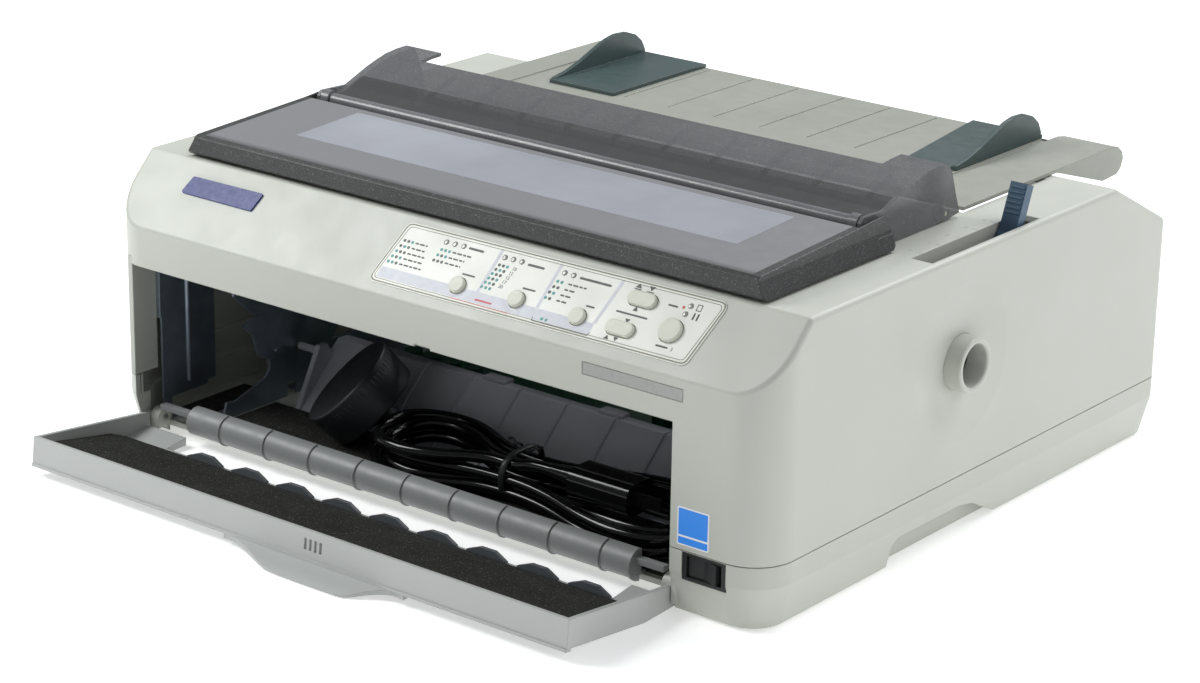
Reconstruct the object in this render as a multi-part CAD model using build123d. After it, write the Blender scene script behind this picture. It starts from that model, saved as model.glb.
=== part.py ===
from build123d import *
import os
from math import acos, atan2, cos, degrees, hypot, pi, radians, sin, sqrt, tan

# Desktop dot matrix printer with its front paper cover open, a loose platen knob and a tied
# mains lead stowed in the front bay.  Millimetres.  The printer is laid out in its case frame:
# X to the right seen from the front, Y to the back, Z up from the desk, X = 0 at mid width and
# Y = 0 at mid depth of the case.  PLACE then puts the origin at the middle of the floor that
# the printer covers with its cover open.

# ---------------------------------------------------------------- driving dimensions
CASE_WIDTH = 414.0
CASE_DEPTH = 350.0
HALF_W = CASE_WIDTH / 2
FRONT_Y = -CASE_DEPTH / 2
REAR_Y = CASE_DEPTH / 2
SEAM_Z = 33.0
SLOPE_START_Z = 114.0
DECK_Z = 145.5
SLOPE_TOP_Y = -144.0
REAR_SLOPE_Y = 120.0
REAR_SLOPE_END_Z = 117.0
WALL = 3.0
CORNER_R = 22.0
REAR_CORNER_R = 7.0

BAY_LEFT = -191.5
BAY_RIGHT = 154.5
BAY_TOP = 93.0
FLOOR_TOP = 7.0

TOP_HOLE_HALF = 170.0
TOP_HOLE_FRONT = -132.0
TOP_HOLE_REAR = 112.0
CROSSBAR_Y = (25.0, 35.0)

FRAME_LEFT_X = -160.0
FRAME_RIGHT_X = 166.0
SHEET = 1.5

PLATEN_Y = -18.4
PLATEN_Z = 91.3
PLATEN_R = 16.5
PLATEN_SHAFT_R = 4.0
RUNNING_GAP = 0.05

COVER_PIVOT = (-163.0, 9.0)
COVER_OPEN_TILT = 6.2
COVER_LEFT = -190.5
COVER_RIGHT = 153.5
COVER_REACH = 83.2
COVER_DEPTH_BELOW = 11.9
COVER_RIM = 2.1
COVER_PIN_R = 2.0

LID_HALF = 181.0
LID_PIVOT = (-42.0, 151.0)
UNIT_HALF = 172.0
UNIT_PIVOT = (17.0, 149.5)
ROLLER_Y = -52.8
ROLLER_Z = 159.9
GUIDE_PIVOT = (39.5, 146.8)
GUIDE_EAR_X = (-146.0, 122.0)
TABLE_Z = 147.8
HINGE_PIN_R = 1.5

LEVER_PIVOT = (2.5, 100.0)
LEVER_X = (192.6, 202.0)
LEVER_SLOT = (191.4, 203.2, -43.0, 51.5)

GEAR_MODULE = 1.0
PLATEN_TEETH = 48
PINION_TEETH = 12
IDLER_TEETH = 60
TRACTOR_TEETH = 30
GEAR_X = (-170.0, -164.0)
TRACTOR_Y = 75.0
TRACTOR_Z = 95.0

ROD_Y = -66.0
ROD_Z = 71.0
ROD_R = 4.0
CARRIAGE_X = -88.0
PULLEY_R = 5.4
PULLEY_Y = -91.0
BELT_THICK = 1.2
BELT_Z = (66.0, 72.0)
DRIVE_PULLEY_X = -137.0
IDLER_PULLEY_X = 150.0

CORD_D = 6.1
FOAM_TOP = 10.0

COVER_FRONT_REACH = 258.5
GUIDE_REAR_Y = 191.0
PLACE = Pos(-4.0, (COVER_FRONT_REACH - GUIDE_REAR_Y) / 2, 0)

os.makedirs("parts", exist_ok=True)


# ---------------------------------------------------------------- small helpers
def box(x0, x1, y0, y1, z0, z1):
    return Pos((x0 + x1) / 2, (y0 + y1) / 2, (z0 + z1) / 2) * Box(x1 - x0, y1 - y0, z1 - z0)


def rod_x(y, z, r, x0, x1):
    return Pos((x0 + x1) / 2, y, z) * Rot(0, 90, 0) * Cylinder(r, x1 - x0)


def rod_z(x, y, r, z0, z1):
    return Pos(x, y, (z0 + z1) / 2) * Cylinder(r, z1 - z0)


def profile_x(points, x0, x1):
    """A YZ outline run along X."""
    wire = Polyline(*[(x0, y, z) for y, z in points], close=True)
    return extrude(make_face(wire), amount=x1 - x0, dir=(1, 0, 0))


def profile_y(points, y0, y1):
    """An XZ outline run along Y."""
    wire = Polyline(*[(x, y0, z) for x, z in points], close=True)
    return extrude(make_face(wire), amount=y1 - y0, dir=(0, 1, 0))


def plan_z(points, z0, z1):
    """An XY outline run up Z."""
    wire = Polyline(*[(x, y, z0) for x, y in points], close=True)
    return extrude(make_face(wire), amount=z1 - z0, dir=(0, 0, 1))


def plan_sketch(half_x, y0, y1, radius):
    """A plan with rounded front corners and tighter rear ones."""
    sketch = Rectangle(2 * half_x, y1 - y0)
    sketch = fillet(sketch.vertices().group_by(Axis.Y)[0], radius)
    sketch = fillet(sketch.vertices().group_by(Axis.Y)[-1], min(radius, REAR_CORNER_R))
    return Pos(0, (y0 + y1) / 2) * sketch


def rounded_plan(half_x, y0, y1, radius, z0, z1):
    return Pos(0, 0, z0) * extrude(plan_sketch(half_x, y0, y1, radius), amount=z1 - z0)


def turn_x(solid, pivot, degrees_up):
    """Turns a solid about an X axis through pivot (y, z); positive lifts the rear."""
    return Pos(0, pivot[0], pivot[1]) * Rot(degrees_up, 0, 0) * Pos(0, -pivot[0], -pivot[1]) * solid


def joined(solids):
    total = solids[0]
    for solid in solids[1:]:
        total = total + solid
    return total


def save(name, *solids):
    """Writes one node; several solids stay apart inside it."""
    placed = []
    for solid in solids:
        placed.extend((PLACE * solid).solids())
    shape = placed[0] if len(placed) == 1 else Compound(children=placed)
    export_step(shape, f"parts/{name}.step")


# ---------------------------------------------------------------- casing
OUTER_PROFILE = [
    (FRONT_Y, SEAM_Z),
    (FRONT_Y, SLOPE_START_Z),
    (SLOPE_TOP_Y, DECK_Z),
    (REAR_SLOPE_Y, DECK_Z),
    (REAR_Y, REAR_SLOPE_END_Z),
    (REAR_Y, SEAM_Z),
]
INNER_PROFILE = [
    (FRONT_Y + WALL, SEAM_Z - 1),
    (FRONT_Y + WALL, SLOPE_START_Z - 1.3),
    (SLOPE_TOP_Y + 1.3, DECK_Z - WALL),
    (REAR_SLOPE_Y - 0.8, DECK_Z - WALL),
    (REAR_Y - WALL, REAR_SLOPE_END_Z - 1.8),
    (REAR_Y - WALL, SEAM_Z - 1),
]
SLOPE_ANGLE = atan2(DECK_Z - SLOPE_START_Z, SLOPE_TOP_Y - FRONT_Y)
PANEL = Plane(
    origin=(0, FRONT_Y, SLOPE_START_Z),
    x_dir=(1, 0, 0),
    z_dir=(0, -sin(SLOPE_ANGLE), cos(SLOPE_ANGLE)),
)

# Panel places: X and distance up the slope.
PANEL_OUTLINE = [(-32.9, 5.6), (157.4, 6.3), (164.0, 41.3), (-26.8, 40.0)]
ROUND_BUTTONS = {"font_button": (19.0, 14.9), "pitch_button": (54.5, 15.8), "tear_button": (91.0, 15.5)}
OBLONG_BUTTONS = {"load_button": (119.7, 31.7), "feed_button": (115.9, 15.3)}
PAUSE_BUTTON = (141.6, 20.8)
ROUND_BUTTON_R = 4.3
PAUSE_BUTTON_R = 6.0
OBLONG_SIZE = (15.7, 7.4)
BUTTON_GAP = 0.35
BUTTON_PROUD = 2.4
BOARD_POSTS = [(0.0, 30.0), (70.0, 36.0), (158.0, 12.0)]
SCREW_POSTS = [(186.0, 150.0), (-186.0, 150.0), (192.0, -136.0)]


def button_sketch(name, grow):
    """The outline of one button on the slope, grown by a gap."""
    if name in ROUND_BUTTONS:
        return Pos(*ROUND_BUTTONS[name]) * Circle(ROUND_BUTTON_R + grow)
    if name in OBLONG_BUTTONS:
        width, height = OBLONG_SIZE
        return Pos(*OBLONG_BUTTONS[name]) * SlotOverall(width + 2 * grow, height + 2 * grow)
    return Pos(*PAUSE_BUTTON) * Circle(PAUSE_BUTTON_R + grow)


BUTTON_NAMES = [*ROUND_BUTTONS, *OBLONG_BUTTONS, "pause_button"]


def on_slope(sketch, low, high):
    """Runs a sketch on the slope from depth low to height high along the slope's normal."""
    return extrude(PANEL.offset(low) * sketch, amount=high - low)


def button_holes(grow, low, high):
    return joined([on_slope(button_sketch(name, grow), low, high) for name in BUTTON_NAMES])


def case_shell():
    outer = profile_x(OUTER_PROFILE, -HALF_W, HALF_W)
    outer = outer & rounded_plan(HALF_W, FRONT_Y, REAR_Y, CORNER_R, SEAM_Z, DECK_Z + 1)
    top_edges = outer.edges().filter_by(lambda e: e.center().Z > REAR_SLOPE_END_Z + 1)
    outer = fillet(top_edges, 2.5)
    inner = profile_x(INNER_PROFILE, -HALF_W + WALL, HALF_W - WALL)
    half = HALF_W - WALL
    inner = inner & rounded_plan(half, FRONT_Y + WALL, REAR_Y - WALL, CORNER_R - WALL, 0, DECK_Z)
    return outer - inner


def case_openings():
    """Everything cut through the upper case."""
    bar_y0, bar_y1 = CROSSBAR_Y
    rear_slot = [(138, 90), (REAR_Y + 2, 90), (REAR_Y + 2, 112), (140, 136), (132, 136)]
    cuts = [
        box(BAY_LEFT, BAY_RIGHT, FRONT_Y - 1, FRONT_Y + 6, SEAM_Z - 2, BAY_TOP),
        box(-TOP_HOLE_HALF, TOP_HOLE_HALF, TOP_HOLE_FRONT, bar_y0, 130, DECK_Z + 5),
        box(-TOP_HOLE_HALF, TOP_HOLE_HALF, bar_y1, TOP_HOLE_REAR, 130, DECK_Z + 5),
        box(LEVER_SLOT[0], LEVER_SLOT[1], LEVER_SLOT[2], LEVER_SLOT[3], 130, DECK_Z + 5),
        profile_x(rear_slot, -145, 145),
        box(0.4, 10.5, FRONT_Y - 1, FRONT_Y + 2, BAY_TOP - 1, BAY_TOP + 1.2),
        box(102.3, 160.0, FRONT_Y - 1, FRONT_Y + 0.5, 103.3, 109.5),
        rod_x(PLATEN_Y, PLATEN_Z, 13.75, 200, 210),
        button_holes(BUTTON_GAP, -8, 4),
    ]
    return cuts


def side_dish():
    """The shallow dish pressed into the right side round the knob opening."""
    rim, depth = 40.0, 1.6
    radius = (rim**2 + depth**2) / (2 * depth)
    return Pos(HALF_W - depth + radius, PLATEN_Y, PLATEN_Z) * Sphere(radius)


def hinge_ear(x0, x1, pivot, pin_x0, pin_x1, pin_r, ear_r=3.0):
    """A small ear on the deck with a cross pin."""
    y, z = pivot
    ear = box(x0, x1, y - ear_r, y + ear_r, DECK_Z - WALL, z)
    return ear + rod_x(y, z, ear_r, x0, x1) + rod_x(y, z, pin_r, pin_x0, pin_x1)


def case_ribs():
    """Jambs, ledges, posts and hinge ears moulded into the upper case."""
    lever_wall = box(
        LEVER_SLOT[0] - 1.6, LEVER_SLOT[0], LEVER_SLOT[2] - 1.5, LEVER_SLOT[3] + 14, 134, DECK_Z - 1
    )
    pieces = [
        box(BAY_LEFT - WALL, BAY_LEFT, FRONT_Y + 1, FRONT_Y + 17, SEAM_Z, BAY_TOP + 4),
        box(BAY_RIGHT, BAY_RIGHT + WALL, FRONT_Y + 1, FRONT_Y + 12, SEAM_Z, BAY_TOP + 4),
        box(BAY_LEFT - WALL, BAY_RIGHT + WALL, FRONT_Y + 1, FRONT_Y + 7, BAY_TOP + 1.5, BAY_TOP + 4),
        lever_wall,
    ]
    for x, y in SCREW_POSTS:
        pieces.append(rod_z(x, y, 5.5, SEAM_Z - 11, DECK_Z - 1 if y < REAR_SLOPE_Y else 128))
    for x, up in BOARD_POSTS:
        pieces.append(on_slope(Pos(x, up) * Circle(2.6), -7.4, -WALL + 0.6))
    for side in (-1, 1):
        a, b = sorted((side * (UNIT_HALF - 6.6), side * (UNIT_HALF - 3.2)))
        c, d = sorted((side * (UNIT_HALF - 6.6), side * (UNIT_HALF - 0.4)))
        pieces.append(hinge_ear(a, b, UNIT_PIVOT, c, d, HINGE_PIN_R))
        ledge_x = sorted((side * (UNIT_HALF - 6.6), side * (TOP_HOLE_HALF + 2)))
        pieces.append(box(*ledge_x, UNIT_PIVOT[0] - 4, UNIT_PIVOT[0] + 4, DECK_Z - WALL, DECK_Z - 0.2))
        a, b = sorted((side * 175.5, side * 176.5))
        c, d = sorted((side * 174.9, side * 176.9))
        pieces.append(hinge_ear(a, b, LID_PIVOT, c, d, HINGE_PIN_R, 2.2))
    y, z = GUIDE_PIVOT
    for x in GUIDE_EAR_X:
        pieces.append(box(x, x + 3, CROSSBAR_Y[0], y, DECK_Z - WALL, z))
        pieces.append(rod_x(y, z, 2.2, x, x + 3) + rod_x(y, z, HINGE_PIN_R, x, x + 7))
    return joined(pieces)


def upper_case():
    shell = case_shell()
    for cut in case_openings():
        shell = shell - cut
    shell = shell - side_dish()
    ribs = case_ribs()
    for x, y in SCREW_POSTS:
        ribs = ribs - rod_z(x, y, 1.6, 0, SEAM_Z + 8)
    return shell + ribs


def base_outer():
    straight = rounded_plan(HALF_W, FRONT_Y, REAR_Y, CORNER_R, 22, SEAM_Z - 0.4)
    plan = Pos(0, 0, 22) * plan_sketch(HALF_W, FRONT_Y, REAR_Y, CORNER_R)
    taper = extrude(plan, amount=-21.0, taper=14.0)
    return straight + taper


def base_pan():
    """The lower case: floor, skirt, feet recesses and hinge lugs."""
    pan = base_outer()
    pan = pan - rounded_plan(198.0, FRONT_Y + 9, REAR_Y - 9, 14, FLOOR_TOP, 40)
    pan = pan - rounded_plan(HALF_W - WALL, FRONT_Y + WALL, REAR_Y - WALL, 19, 22, 40)
    pan = pan - rounded_plan(194.0, FRONT_Y + 15, REAR_Y - 12, 12, 0, FLOOR_TOP - 3)
    tongue = rounded_plan(HALF_W - WALL - 0.3, FRONT_Y + WALL + 0.3, REAR_Y - WALL - 0.3, 19, 22, SEAM_Z + 4)
    tongue = tongue - rounded_plan(HALF_W - WALL - 2, FRONT_Y + WALL + 2, REAR_Y - WALL - 2, 17, 10, 50)
    pan = pan + tongue
    pan = pan - box(BAY_LEFT, BAY_RIGHT, FRONT_Y - 1, FRONT_Y + 15, -1, 45)
    pan = pan - box(BAY_LEFT - 4, BAY_RIGHT + 4, FRONT_Y + 1, FRONT_Y + 18, SEAM_Z - 0.4, 45)
    pan = pan - box(184.5, 199.5, -143.5, -128.5, 20, 45)
    for side in (-1, 1):
        x_in, x_out = sorted((side * 193.0, side * 215.0))
        notch = [(-68, -1), (-68, 13), (-64, 16), (-12, 16), (2, 13), (16, 6), (31, -1)]
        inset = box(x_in, x_out, -72, 35, FLOOR_TOP - 3, 19)
        pan = pan + (inset & base_outer())
        x_in, x_out = sorted((side * 196.0, side * 215.0))
        pan = pan - profile_x(notch, x_in, x_out)
    # Rocker switch window and the rear sockets' windows.
    pan = pan - box(161.4, 186.2, FRONT_Y - 1, FRONT_Y + 12, 18.6, 32.4)
    pan = pan + box(BAY_RIGHT, BAY_RIGHT + WALL, FRONT_Y + 2, FRONT_Y + 15, FLOOR_TOP - 3, SEAM_Z - 0.4)
    for x0, x1, z0, z1 in SOCKET_WINDOWS:
        pan = pan - box(x0, x1, REAR_Y - 14, REAR_Y + 1, z0, z1)
    for x, y in SCREW_POSTS:
        pan = pan + rod_z(x, y, 5.5, FLOOR_TOP - 3, SEAM_Z - 11.2)
        pan = pan - rod_z(x, y, 1.8, 0, SEAM_Z - 11)
        pan = pan - rod_z(x, y, 3.8, 0, FLOOR_TOP - 0.6)
    for x0, x1 in ((-187.9, -182.0), (145.0, 150.9)):
        lug = box(x0, x1, -168, -158, FLOOR_TOP - 3, COVER_PIVOT[1]) + rod_x(*COVER_PIVOT, 5, x0, x1)
        pan = pan + (lug - rod_x(*COVER_PIVOT, COVER_PIN_R, x0 - 1, x1 + 1))
    for x, y in BOARD_STANDS:
        pan = pan + rod_z(x, y, 3, FLOOR_TOP - 1, BOARD_Z)
    return pan


SOCKET_WINDOWS = [(119.5, 148.5, 9.5, 30.0), (-121.0, -61.0, 11.5, 28.0), (-41.0, -27.0, 12.5, 24.0)]
BOARD_Z = 12.0
BOARD_STANDS = [(-132, -50), (-132, 130), (42, -50), (42, 130), (72, -42), (72, 82), (152, -42), (152, 82)]
FEET = [(-170, -130), (170, -130), (-170, 140), (170, 140)]


def rubber_feet():
    return [rod_z(x, y, 9, 0, FLOOR_TOP - 3) for x, y in FEET]


def case_screws():
    """Pan-head screws from below into the three case posts."""
    screws = []
    for x, y in SCREW_POSTS:
        head = rod_z(x, y, 3.4, 4.2, FLOOR_TOP - 0.6)
        screws.append(head + rod_z(x, y, 1.55, 4.2, SEAM_Z + 4))
    return screws


# ---------------------------------------------------------------- front cover
def cover_place(solid):
    """The cover is drawn level, reaching out from its pivot, then tilted up to where it rests."""
    return turn_x(solid, COVER_PIVOT, -COVER_OPEN_TILT)


def cover_point(reach, height):
    return (COVER_PIVOT[0] - reach, COVER_PIVOT[1] + height)


def cover_profile(points, x0, x1):
    return profile_x([cover_point(u, v) for u, v in points], x0, x1)


COVER_SECTION = [
    (-2.6, -3.0),
    (4.0, -8.3),
    (26.9, -COVER_DEPTH_BELOW),
    (COVER_REACH, -COVER_DEPTH_BELOW),
    (COVER_REACH, COVER_RIM),
    (0.0, COVER_RIM),
    (-2.6, 0.8),
]
COVER_SKIN = 2.2
COVER_GAP_X = (-160.0, 129.5)
COVER_FLOOR_START = 20.0


HANDLE_OUTLINE = [
    (-56.3, 0.6),
    (-43.5, 2.5),
    (-36.8, 5.0),
    (-29.7, 8.0),
    (-22.7, 11.0),
    (-17.0, 12.5),
    (-9.8, 13.2),
    (7.5, 13.5),
    (24.1, 13.4),
    (30.0, 12.8),
    (33.6, 11.1),
    (38.5, 6.6),
    (43.8, 2.6),
    (58.0, 0.6),
]


def cover_handle():
    """The smooth finger tongue that swells forward and down from the middle of the cover's front edge."""
    tongue = [
        (66.0, -COVER_DEPTH_BELOW + 0.6),
        (78.0, -13.4),
        (86.0, -16.2),
        (94.6, -19.1),
        (95.7, -19.2),
        (95.6, -18.5),
        (COVER_REACH + 0.3, -13.0),
        (COVER_REACH - 0.6, -11.0),
    ]
    band = cover_profile(tongue, -70, 70)
    edge_y = cover_point(COVER_REACH, 0)[0]
    outline = [(x, edge_y - 0.905 * out) for x, out in HANDLE_OUTLINE]
    front = Spline(*outline)
    back = Polyline(outline[-1], (62.0, edge_y + 18), (-60.0, edge_y + 18), outline[0])
    plan = extrude(Pos(0, 0, -25) * make_face([front, back]), amount=45)
    return band & plan


def front_cover():
    """A shallow tray: front wall, two side walls, a floor with guide teeth and two hinge arms."""
    tray = cover_profile(COVER_SECTION, COVER_LEFT, COVER_RIGHT)
    hollow = [
        (-10.0, 8.0),
        (-10.0, -3.0),
        (2.0, -3.4),
        (26.5, -COVER_DEPTH_BELOW + COVER_SKIN),
        (COVER_REACH - COVER_SKIN, -COVER_DEPTH_BELOW + COVER_SKIN),
        (COVER_REACH - COVER_SKIN, 8.0),
    ]
    tray = tray - cover_profile(hollow, COVER_LEFT + COVER_SKIN, COVER_RIGHT - COVER_SKIN)
    window = [(-12, -20), (-12, 8), (COVER_FLOOR_START, 8), (COVER_FLOOR_START, -20)]
    tray = tray - cover_profile(window, COVER_GAP_X[0], COVER_GAP_X[1])
    near_lugs = [(-12, -20), (-12, 8), (6.5, 8), (6.5, -20)]
    tray = tray - cover_profile(near_lugs, COVER_LEFT + COVER_SKIN, COVER_GAP_X[0] + 1)
    tray = tray - cover_profile(near_lugs, COVER_GAP_X[1] - 1, COVER_RIGHT - COVER_SKIN)
    lip = [(80.2, -13.2), (83.7, -13.2), (83.7, -11.6), (80.2, -11.6)]
    tray = tray + cover_profile(lip, COVER_LEFT, COVER_RIGHT) + cover_handle()
    for count in range(9):
        x = -131.0 + 31.0 * count
        base = cover_point(COVER_FLOOR_START + 0.2, -9.8)
        tooth = [(x - 12, -9.9), (x + 12, -9.9), (x + 12, -7.2), (x + 5, -3.8), (x - 4, -3.8), (x - 12, -6.8)]
        solid = profile_y([(a, COVER_PIVOT[1] + b) for a, b in tooth], base[0] - 2.4, base[0] - 0.2)
        tray = tray + solid
    for count in range(4):
        x = -5.0 + 3.2 * count
        tray = tray - box(x, x + 1.6, COVER_PIVOT[0] - 90, COVER_PIVOT[0] - COVER_REACH + 1.2, 1.5, 7.0)
    tray = tray - rod_x(*COVER_PIVOT, COVER_PIN_R + RUNNING_GAP, COVER_LEFT - 1, COVER_RIGHT + 1)
    return cover_place(tray)


def cover_foam():
    top = (COVER_REACH - 2.4, -0.6)
    foam = [(23.4, -8.7), (26.6, -9.6), (COVER_REACH - 2.4, -9.6), top, (34.5, -3.9), (23.4, -7.3)]
    return cover_place(cover_profile(foam, COVER_LEFT + 4.5, COVER_RIGHT - 4.0))


def cover_hinge_pins():
    left = rod_x(*COVER_PIVOT, COVER_PIN_R, COVER_LEFT, -182.0)
    right = rod_x(*COVER_PIVOT, COVER_PIN_R, 145.0, COVER_RIGHT)
    return [left, right]


# ---------------------------------------------------------------- front bay
def front_guide_bar():
    """The ribbed half-round bar along the mouth of the bay, with a thin bar to each side."""
    y, z, r = -162.3, 12.5, 7.5
    x0, x1 = -160.0, 128.0
    half = box(x0, x1, y - 12, y, z - 10, z + 10)
    bar = rod_x(y, z, r, x0, x1) & half
    flange = box(x0, x1, y, -157.5, FLOOR_TOP, FLOOR_TOP + 1.5)
    foot = box(x0, x1, y, y + 1.5, FLOOR_TOP, z + r)
    bar = bar + flange + foot
    for count in range(9):
        x = -137.1 + 30.8 * count
        bar = bar + (rod_x(y, z, r + 0.7, x - 0.5, x + 0.5) & box(x - 1, x + 1, y - 12, y, 0, 30))
    bar = bar + (rod_x(y, z, r + 0.7, x1 - 1.5, x1) & box(x0, x1, y - 12, y, 0, 30))
    arms = box(-181.9, x0, -166.5, -162.5, 14.3, 17.2) + box(x1, 144.9, -166.5, -162.5, 14.3, 17.2)
    return bar + arms


GUIDE_FOOT = (-110.0, 7.0)
GUIDE_TOP = (-76.0, 39.0)


def inner_paper_guide():
    """The ribbed plate that leans back from the floor of the bay."""
    lean = atan2(GUIDE_TOP[1] - GUIDE_FOOT[1], GUIDE_TOP[0] - GUIDE_FOOT[0])
    ny, nz = -sin(lean), cos(lean)
    y0, z0 = GUIDE_FOOT
    y1, z1 = GUIDE_TOP
    back = 2.0 / sin(lean)
    plate = [(y0, z0), (y1, z1), (y1 + 7, z1), (y1 + 7, z1 - 2), (y1 + 1.2, z1 - 2), (y0 + back, z0)]
    guide = profile_x(plate, -141.0, 140.0)
    for count in range(8):
        x = -109.6 + 30.9 * count
        rib = [
            (y0, z0),
            (y0 + ny * 1.2, z0 + 0.6),
            (y1 + ny * 1.2, z1 + nz * 1.2),
            (y1 + 3, z1 + 0.6),
            (y1 + 3, z1 - 1),
        ]
        guide = guide + profile_x(rib, x - 0.7, x + 0.7)
    end = [(y0, z0), (-93.0, 39.5), (-87.0, 39.5), (-84.0, 31.0), (y0 + 10, z0)]
    guide = guide + profile_x(end, -141.0, -138.0)
    for x in (-42.8, 32.5):
        guide = guide + box(x, x + 15, y1 + 2, y1 + 9, z1 - 2, z1 + 1.6)
    for x0, x1 in ((-158.4, -141.0), (140.0, 164.4)):
        guide = guide + rod_x(-86.5, 33.5, 2.0, x0, x1)
    knee = [(-90.0, 28.5), (-84.0, 28.5), (-84.0, 36.0), (-90.0, 36.0)]
    guide = guide + profile_x(knee, -141.0, -138.0) + profile_x(knee, 137.0, 140.0)
    return guide


def base_foam():
    main = box(-153.0, 149.0, -157.0, -111.5, FLOOR_TOP, FOAM_TOP)
    side = box(-187.0, -170.5, -150.5, -100.0, FLOOR_TOP, FOAM_TOP - 1)
    return [main, side]


def left_shield():
    """A zinc-plated sheet beside the bay's left wall, stiffened by one long pressed bead."""
    x = -190.2
    plate = box(x, x + 1.2, -157.0, -119.0, 15.5, 99.0)
    bead = rod_z(x + 1.2, -138.4, 1.5, 22, 97) + Pos(x + 1.2, -138.4, 22) * Sphere(1.5)
    foot = (
        box(x, x + 1.2, -157.0, -151.0, FLOOR_TOP, 15.5)
        + box(x, x + 8, -157.0, -151.0, FLOOR_TOP, FLOOR_TOP + 1.2)
    )
    top = box(x - 1.3, x + 1.2, -157.9, -156.0, 60, 90)
    notch = box(x - 1, x + 3, -125, -118, 14, 18)
    return plate + (bead & box(x + 0.5, x + 4, -145, -130, 15, 99)) + foot + top - notch


# ---------------------------------------------------------------- side frames
FRAME_FRONT = [
    (-142.8, FLOOR_TOP),
    (-140.0, 15.5),
    (-133.2, 14.9),
    (-111.1, 21.6),
    (-107.9, 26.0),
    (-107.9, 30.7),
    (-116.0, 35.1),
    (-118.5, 42.0),
    (-120.1, 47.2),
    (-126.6, 53.3),
    (-123.0, 55.5),
    (-114.7, 57.3),
    (-121.0, 60.0),
    (-133.5, 72.0),
    (-134.0, 96.0),
    (-122.0, 128.0),
    (92.0, 128.0),
    (92.0, FLOOR_TOP),
    (-88.0, FLOOR_TOP),
    (-88.0, 14.0),
    (-95.0, 14.0),
    (-95.0, FLOOR_TOP),
]


def side_frame(x0, foot_direction):
    """A pressed steel side frame with a folded foot and its bearing holes."""
    x1 = x0 + SHEET
    frame = profile_x(FRAME_FRONT, x0, x1)
    foot_x = (x0, x0 + 9) if foot_direction > 0 else (x1 - 9, x1)
    for y0, y1 in ((-142.8, -98.0), (-86.0, 92.0)):
        frame = frame + box(foot_x[0], foot_x[1], y0, y1, FLOOR_TOP, FLOOR_TOP + SHEET)
    frame = frame - rod_x(PLATEN_Y, PLATEN_Z, 6.5, x0 - 1, x1 + 1)
    frame = frame - rod_x(TRACTOR_Y, TRACTOR_Z, 6.5, x0 - 1, x1 + 1)
    frame = frame - rod_x(ROD_Y, ROD_Z, ROD_R, x0 - 1, x1 + 1)
    frame = frame - rod_x(-86.5, 33.5, 2.05, x0 - 1, x1 + 1)
    window = [(-60, 30), (60, 30), (60, 60), (-40, 60)]
    return frame - profile_x(window, x0 - 1, x1 + 1)


def left_frame():
    frame = side_frame(FRAME_LEFT_X - SHEET, -1)
    boss = rod_x(-102.5, 34.8, 1.6, FRAME_LEFT_X - 0.5, FRAME_LEFT_X + 1.4)
    stub = rod_x(IDLER_CENTRE[0], IDLER_CENTRE[1], 3.0, -171.0, FRAME_LEFT_X - 1)
    return frame + boss + stub


def right_frame():
    frame = side_frame(FRAME_RIGHT_X, 1)
    return frame + rod_x(*LEVER_PIVOT, 3.0, FRAME_RIGHT_X + 1, LEVER_X[1])


# ---------------------------------------------------------------- gears
def meeting_point(a, reach_a, b, reach_b, side):
    """The point at given distances from two centres in the YZ plane."""
    dy, dz = b[0] - a[0], b[1] - a[1]
    gap = hypot(dy, dz)
    along = (reach_a**2 - reach_b**2 + gap**2) / (2 * gap)
    off = side * sqrt(reach_a**2 - along**2)
    return (a[0] + along * dy / gap - off * dz / gap, a[1] + along * dz / gap + off * dy / gap)


PITCH = GEAR_MODULE / 2
PLATEN_CENTRE = (PLATEN_Y, PLATEN_Z)
TRACTOR_CENTRE = (TRACTOR_Y, TRACTOR_Z)
PINION_DIRECTION = radians(-120)
PINION_REACH = (PLATEN_TEETH + PINION_TEETH) * PITCH
PINION_CENTRE = (
    PLATEN_Y + PINION_REACH * cos(PINION_DIRECTION),
    PLATEN_Z + PINION_REACH * sin(PINION_DIRECTION),
)
IDLER_CENTRE = meeting_point(
    PLATEN_CENTRE,
    (PLATEN_TEETH + IDLER_TEETH) * PITCH,
    TRACTOR_CENTRE,
    (IDLER_TEETH + TRACTOR_TEETH) * PITCH,
    -1,
)


def mesh_phase(centre_a, teeth_a, phase_a, centre_b, teeth_b):
    """The angle of a tooth of gear b that puts a gap of b opposite the teeth of a."""
    toward = atan2(centre_b[1] - centre_a[1], centre_b[0] - centre_a[0])
    return toward + pi - (phase_a - toward) * teeth_a / teeth_b + pi / teeth_b


def involute_points(teeth, backlash):
    """One flank of a tooth from root to tip, as radius and half angle."""
    pitch_r = teeth * PITCH
    base_r = pitch_r * cos(radians(20))
    tip_r = pitch_r + 0.95 * GEAR_MODULE
    root_r = pitch_r - 1.2 * GEAR_MODULE
    start_r = max(base_r, root_r)
    roll_at_pitch = tan(radians(20)) - radians(20)
    half_at_pitch = pi / (2 * teeth) - backlash / (2 * pitch_r)
    points = []
    if root_r < start_r - 0.01:
        points.append((root_r, half_at_pitch + roll_at_pitch))
    for step in range(5):
        r = start_r + (tip_r - start_r) * step / 4
        pressure = acos(min(1.0, base_r / r))
        points.append((r, half_at_pitch + roll_at_pitch - (tan(pressure) - pressure)))
    return points


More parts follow.
